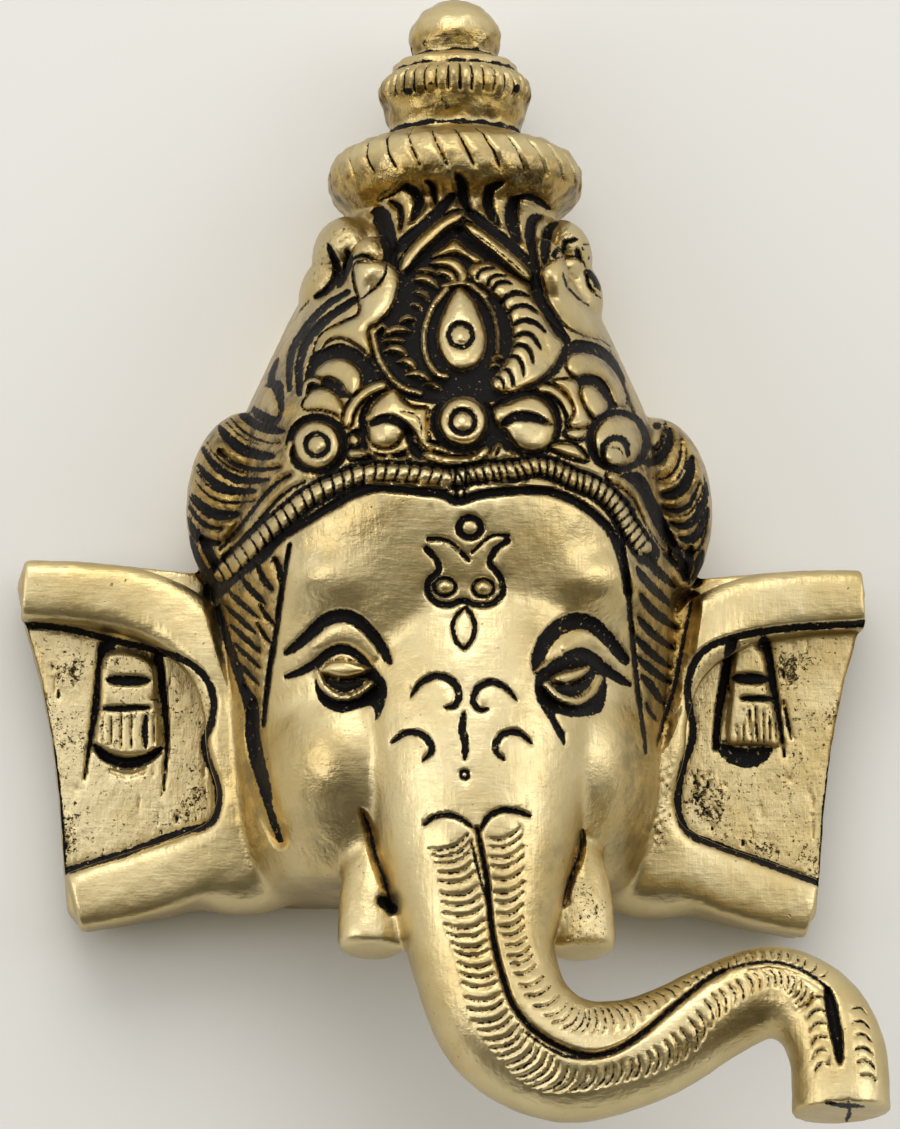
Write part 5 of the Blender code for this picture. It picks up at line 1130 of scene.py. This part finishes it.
def applyRelief(item, relief):
    moved = relief.places + relief.sight * (relief.raised * relief.facing)[:, None]
    for ring in rings.values():
        share = ringNotches(moved, ring)
        arm = moved - (mask["finialAxis"][0], 0.0, mask["finialAxis"][1])
        arm[:, 1] = 0.0
        length = np.maximum(np.linalg.norm(arm, axis=1), 0.001)[:, None]
        moved -= arm / length * (ring["depth"] * share)[:, None]
        relief.ink = np.maximum(relief.ink, (share - ageing["notchPaint"]) * 0.8)
    # hammered unevenness, strongest on the finial; black lines where its rings meet
    wave = np.zeros(len(moved))
    for k, turns in enumerate(mask["dents"]):
        wave += np.sin(moved @ np.array(turns) * fullTurn + 1.7 * k) / len(mask["dents"])
    strength = np.clip((moved[:, 1] - ageing["finialFrom"]) / ageing["finialFade"], ageing["elsewhere"], 1.0)
    moved += relief.normals * (ageing["hammering"] * wave * strength)[:, None]
    x, y, z = moved.T
    out = np.hypot(x - mask["finialAxis"][0], z - mask["finialAxis"][1])
    for height, thick in ageing["blackLines"]:
        line = np.minimum(thick * (1 + 0.9 * wave) - np.abs(y - height), 0.4)
        relief.ink = np.maximum(relief.ink, np.where(out < ageing["finialReach"], line, noPaint))
    # painted shade: the finial's undersides are brown, and black blots where the upper rings face down are
    # painted shade as well
    under = np.clip(0.7 - relief.normals[:, 1] * 1.6, 0.0, 1.0) * np.clip((y - 45.0) / 4.0, 0.0, 1.0)
    blots = (wave * under - ageing["blotLevel"]) * 0.9
    relief.ink = np.maximum(relief.ink, np.where(y > ageing["blotsFrom"], blots, noPaint))
    # no paint dragged down the flanks
    relief.ink -= ageing["flankClearing"] * np.clip(0.25 - relief.facing, 0.0, 1.0)
    item.data.vertices.foreach_set("co", (moved * mm).ravel())
    # sink: depth below the open surface, which drives the painted shade in recesses
    sink = (relief.raised - relief.level) * relief.facing
    rubbedBrownAndShade = relief.brownedAndShaded * (1 - np.clip(relief.raised * 1.2 - 0.2, 0.0, 0.7))    # high places are bright
    brownedAndShaded = np.maximum(rubbedBrownAndShade, under)
    for name, values in (("ink", relief.ink), ("sink", sink), ("brownedAndShaded", brownedAndShaded), ("flank", relief.flank),
                         ("worn", relief.worn)):
        layer = item.data.attributes.new(name, "FLOAT", "POINT")
        layer.data.foreach_set("value", values.astype(np.float32))
    item.data.update()


def smoothFace(item):
    # the face and trunk root flow into each other
    places = np.empty(len(item.data.vertices) * 3)
    item.data.vertices.foreach_get("co", places)
    x, y, _ = (places.reshape(-1, 3) / mm).T
    half = mask["faceHalfWidth"] + mask["jawWidening"] * np.clip((mask["jawTop"] - y) / 3, 0.0, 1.0)
    share = np.minimum(mask["faceTop"] - y, half + mask["faceFade"] - np.abs(x)) / mask["faceFade"]
    group = item.vertex_groups.new(name="face")
    for level in np.linspace(0.1, 1.0, 10):
        chosen = np.nonzero((share > level - 0.1) & ((share <= level) | (level == 1.0)))[0]
        group.add(chosen.tolist(), float(level), "REPLACE")
    applied(item, "soften", "SMOOTH", iterations=mask["softenRounds"])
    applied(item, "flow", "SMOOTH", iterations=mask["faceRounds"], vertex_group=group.name)
    item.vertex_groups.clear()


def makeMask():
    item = rawForm()
    report("skin with %d points" % len(item.data.vertices))
    smoothFace(item)
    report("softened")
    relief = Relief(item.data)
    for carve in (carveCrown, carveWings, carveRope, carveFace, carveEars, carveTrunk):
        carve(relief)
    applyRelief(item, relief)
    applied(item, "settle", "SMOOTH", iterations=2, factor=0.35)
    report("carved")
    applied(item, "thin", "DECIMATE", ratio=mask["triangles"] / (2 * len(item.data.polygons)))
    report("thinned to %d triangles" % len(item.data.polygons))
    cutBack(item)
    item.data.transform(Matrix.Translation((0.0, -drawnMiddle * mm, 0.0)))
    return item


def cutBack(item):
    # flat back rim and hollow
    bpy.ops.mesh.primitive_cube_add(size=0.4, location=(0.0, 0.0, -0.2))
    tools = [bpy.context.object, headLoft("hollow", mask["wall"], 8.0)]
    pick(item)
    for tool in tools:
        applied(item, "opening", "BOOLEAN", operation="DIFFERENCE", object=tool, solver="EXACT")
        bpy.data.objects.remove(tool)
    report("hollowed")


colours = {
    "brightBrass": (0.80, 0.68, 0.40), "dullBrass": (0.62, 0.48, 0.22), "oliveShade": (0.33, 0.25, 0.09),
    "orangeShade": (0.52, 0.30, 0.06), "darkStainAndShade": (0.10, 0.065, 0.02), "lightStainAndShade": (0.46, 0.31, 0.09),
    "pit": (0.05, 0.035, 0.015), "paint": (0.009, 0.008, 0.008), "paintGlint": (0.10, 0.10, 0.11),
}


def brassMaterial():
    material = bpy.data.materials.new("brass")
    material.use_nodes = True
    nodes, links = material.node_tree.nodes, material.node_tree.links
    shader = nodes["Principled BSDF"]
    place = nodes.new("ShaderNodeTexCoord").outputs["Object"]

    def setInputs(node, values):
        # a number or colour on its socket, or a link into it
        for slot, value in values:
            if isinstance(value, bpy.types.NodeSocket):
                links.new(value, slot)
            else:
                slot.default_value = value + (1.0,) if isinstance(value, tuple) else value

    def noise(scale, detail=4.0, rough=0.6, stretch=None, turn=None):
        node = nodes.new("ShaderNodeTexNoise")
        spot = place
        if stretch:
            mapping = nodes.new("ShaderNodeMapping")
            mapping.inputs["Scale"].default_value = stretch
            if turn:
                mapping.inputs["Rotation"].default_value = turn
            links.new(place, mapping.inputs["Vector"])
            spot = mapping.outputs["Vector"]
        for name, value in (("Scale", scale), ("Detail", detail), ("Roughness", rough)):
            node.inputs[name].default_value = value
        links.new(spot, node.inputs["Vector"])
        return node.outputs["Fac"]

    def painted(name):
        # a number kept at each point of the mask
        node = nodes.new("ShaderNodeAttribute")
        node.attribute_name = name
        return node.outputs["Fac"]

    def ranged(value, low, high, outLow=0.0, outHigh=1.0):
        node = nodes.new("ShaderNodeMapRange")
        node.clamp = True
        for name, number in (("From Min", low), ("From Max", high), ("To Min", outLow), ("To Max", outHigh)):
            node.inputs[name].default_value = number
        links.new(value, node.inputs["Value"])
        return node.outputs["Result"]

    def math2(operation, a, b):
        node = nodes.new("ShaderNodeMath")
        node.operation = operation
        setInputs(node, zip(node.inputs, (a, b)))
        return node.outputs["Value"]

    def times(a, b):
        return math2("MULTIPLY", a, b)

    def mixed(share, a, b):
        node = nodes.new("ShaderNodeMix")
        node.data_type = "RGBA"
        setInputs(node, ((node.inputs[0], share), (node.inputs[6], a), (node.inputs[7], b)))
        return node.outputs[2]

    ink, sink, worn, flank, brownedAndShaded = [painted(name) for name in ("ink", "sink", "worn", "flank", "brownedAndShaded")]
    # black paint with ragged edges, flecked, and worn off in small dots
    ragged = times(math2("SUBTRACT", noise(1500.0, 5.0, 0.75), 0.5), 0.8)
    flecks = ranged(noise(1150.0, 4.0, 0.7), 0.64, 0.69, 1.0, 0.25)
    black = times(ranged(math2("ADD", ink, ragged), 0.0, 0.08), flecks)
    # small pits, most of them on the worn patches
    speckled = math2("ADD", times(worn, 0.10), times(noise(150.0, 3.0), 0.35))
    pitted = ranged(math2("ADD", noise(2000.0, 4.0, 0.75), speckled), 0.88, 0.93)
    dots = times(ranged(noise(1300.0, 1.0, 0.4), 0.78, 0.82), 0.6)
    pits = math2("MAXIMUM", pitted, dots)
    # brass: its tone drifts over the casting; painted shade makes it olive where it turns from the eye and
    # darker orange in the recesses
    drift = ranged(noise(60.0, 5.0), 0.35, 0.65)
    gold = mixed(drift, colours["brightBrass"], colours["dullBrass"])
    flankShade = times(flank, ranged(noise(90.0, 4.0), 0.2, 0.7, 0.35, 0.8))
    oliveShade = mixed(flankShade, gold, colours["oliveShade"])
    # painted shade: the recesses are tinted darker orange
    recessShade = ranged(sink, -0.15, -1.0)
    recessShaded = mixed(times(recessShade, ranged(noise(220.0, 3.0), 0.3, 0.7)), oliveShade, colours["orangeShade"])
    # brown tone, in places painted shade (finial undersides, face, trunk, ear roots), and faint stains all
    # over
    stain = times(ranged(noise(330.0, 6.0, 0.7), 0.60, 0.72), 0.4)
    brown = times(times(brownedAndShaded, ranged(noise(150.0, 5.0, 0.65), 0.25, 0.5)), 0.95)
    stainAndShadeColour = mixed(ranged(noise(330.0, 5.0, 0.65), 0.40, 0.58), colours["darkStainAndShade"], colours["lightStainAndShade"])
    stainedAndShaded = mixed(math2("MAXIMUM", stain, brown), recessShaded, stainAndShadeColour)
    spotted = mixed(pits, stainedAndShaded, colours["pit"])
    # painted glints: pale specks in the black paint
    paintGlints = ranged(noise(5200.0, 2.0, 0.5), 0.70, 0.76)
    paint = mixed(paintGlints, colours["paint"], colours["paintGlint"])
    links.new(mixed(black, spotted, paint), shader.inputs["Base Color"])
    links.new(ranged(black, 0.0, 1.0, 1.0, 0.0), shader.inputs["Metallic"])
    polish = math2("SUBTRACT", ranged(noise(140.0, 6.0, 0.65), 0.3, 0.75, 0.28, 0.44), times(brownedAndShaded, 0.07))
    roughness = nodes.new("ShaderNodeMix")
    links.new(black, roughness.inputs[0])
    links.new(polish, roughness.inputs[2])
    roughness.inputs[3].default_value = 0.5
    links.new(roughness.outputs[0], shader.inputs["Roughness"])
    shader.inputs["Specular IOR Level"].default_value = 0.06
    # bumps: hammering, the browned and shaded areas, three ways of brushing, worn patches, pits and grain;
    # reach in m, strength
    bumps = [(noise(260.0, 3.0, 0.55), 0.0005, 0.34),
             (times(brownedAndShaded, noise(600.0, 4.0, 0.6)), 0.0006, 0.5),
             (noise(1500.0, 3.0, 0.6, (1.0, 0.12, 1.0), (0.0, 0.0, 0.5)), 0.00014, 0.45),
             (noise(1900.0, 3.0, 0.6, (0.14, 1.0, 1.0), (0.0, 0.0, 0.3)), 0.0001, 0.40),
             (noise(1700.0, 3.0, 0.6, (0.14, 1.0, 1.0), (0.0, 0.0, -0.7)), 0.0001, 0.35),
             (times(worn, noise(1700.0, 5.0, 0.7, (1.0, 0.3, 1.0))), 0.00022, 0.6),
             (math2("SUBTRACT", 1.0, pits), 0.0001, 0.6),
             (noise(4200.0, 2.0, 0.5), 0.00004, 0.4)]
    normal = None
    for height, reach, strength in bumps:
        bump = nodes.new("ShaderNodeBump")
        bump.inputs["Strength"].default_value = strength
        bump.inputs["Distance"].default_value = reach
        links.new(height, bump.inputs["Height"])
        if normal:
            links.new(normal, bump.inputs["Normal"])
        normal = bump.outputs["Normal"]
    links.new(normal, shader.inputs["Normal"])
    return material


def finishMask():
    item = makeMask()
    item.data.materials.clear()
    item.data.materials.append(brassMaterial())
    pick(item)
    bpy.ops.object.shade_smooth_by_angle(angle=math.radians(50.0))
    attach(item, "root")
    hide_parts("ganesha_mask")
    report("mask done")


studio = {
    "floorHalf": 1.6, "floorColour": (0.90, 0.90, 0.89),
    "panels": [    # place, width, height, radiance, colour
        ((-0.15, 0.95, 0.80), 0.9, 0.6, 2.3, (1.0, 0.98, 0.95)),
        ((0.95, 0.20, 0.70), 0.5, 0.7, 1.35, (1.0, 0.99, 0.97)),
        ((-0.95, -0.05, 0.60), 0.5, 0.7, 1.6, (1.0, 0.98, 0.96))],
    "sky": [    # place and brightness, from the chin side to the finial side
        (0.0, 0.08), (0.28, 0.20), (0.48, 0.60), (0.62, 1.12), (0.74, 1.00), (1.0, 0.76)],
    "target": (0.0, 0.001 - 0.00245, 0.020), "distance": 1.0, "azimuth": 4.0, "tilt": 10.0,
    "pictureHigh": 1129, "pictureMm": 0.127,    # the picture's height, and mm in each of its dots
}


def makeStudio():
    bpy.ops.mesh.primitive_plane_add(size=2 * studio["floorHalf"], location=(0.0, 0.0, 0.0))
    floor = bpy.context.object
    floor.name = "floor"
    paint = bpy.data.materials.new("floorPaint")
    paint.use_nodes = True
    shader = paint.node_tree.nodes["Principled BSDF"]
    shader.inputs["Base Color"].default_value = studio["floorColour"] + (1.0,)
    shader.inputs["Roughness"].default_value = 0.8
    floor.data.materials.append(paint)
    for k, (place, width, height, radiance, colour) in enumerate(studio["panels"]):
        bpy.ops.object.light_add(type="AREA", location=place)
        lamp = bpy.context.object
        lamp.name = "softbox%d" % k
        lamp.data.shape = "RECTANGLE"
        lamp.data.size, lamp.data.size_y = width, height
        lamp.data.energy = radiance * math.pi * width * height
        lamp.data.color = colour
        lamp.rotation_euler = (Vector(place) - Vector(studio["target"])).to_track_quat("Z", "Y").to_euler()
    world = bpy.data.worlds.new("studio")
    bpy.context.scene.world = world
    world.use_nodes = True
    nodes, links = world.node_tree.nodes, world.node_tree.links
    backdrop = nodes["Background"]
    split = nodes.new("ShaderNodeSeparateXYZ")
    links.new(nodes.new("ShaderNodeTexCoord").outputs["Generated"], split.inputs["Vector"])
    share = nodes.new("ShaderNodeMapRange")
    share.inputs["From Min"].default_value = -1.0
    links.new(split.outputs["Y"], share.inputs["Value"])
    ramp = nodes.new("ShaderNodeValToRGB")
    ramp.color_ramp.interpolation = "EASE"
    while len(ramp.color_ramp.elements) < len(studio["sky"]):
        ramp.color_ramp.elements.new(0.5)
    for stop, (at, level) in zip(ramp.color_ramp.elements, studio["sky"]):
        stop.position = at
        dusk = max(0.0, 1.0 - level)    # the darker side is warmer
        stop.color = (level, level * (0.99 - 0.11 * dusk), level * (0.97 - 0.40 * dusk), 1.0)
    links.new(share.outputs["Result"], ramp.inputs["Fac"])
    links.new(ramp.outputs["Color"], backdrop.inputs["Color"])
    backdrop.inputs["Strength"].default_value = 1.0
    bpy.context.scene.view_settings.view_transform = "Standard"
    # camera: above the lying mask, a little to its left and below its chin
    turn, tilt = math.radians(studio["azimuth"]), math.radians(studio["tilt"])
    back = Vector((-math.sin(turn) * math.cos(tilt), -math.sin(tilt), math.cos(turn) * math.cos(tilt)))
    right = Vector((0.0, 1.0, 0.0)).cross(back).normalized()
    up = back.cross(right)
    bpy.ops.object.camera_add(location=Vector(studio["target"]) + back * studio["distance"])
    camera = bpy.context.object
    camera.rotation_euler = Matrix((right, up, back)).transposed().to_euler()
    camera.data.sensor_fit = "AUTO"
    camera.data.sensor_width = 36.0
    camera.data.lens = 36.0 * studio["distance"] / (studio["pictureHigh"] * studio["pictureMm"] * mm)
    camera.data.clip_start = 0.01
    bpy.context.scene.camera = camera
    report("studio done")


finishMask()
makeStudio()
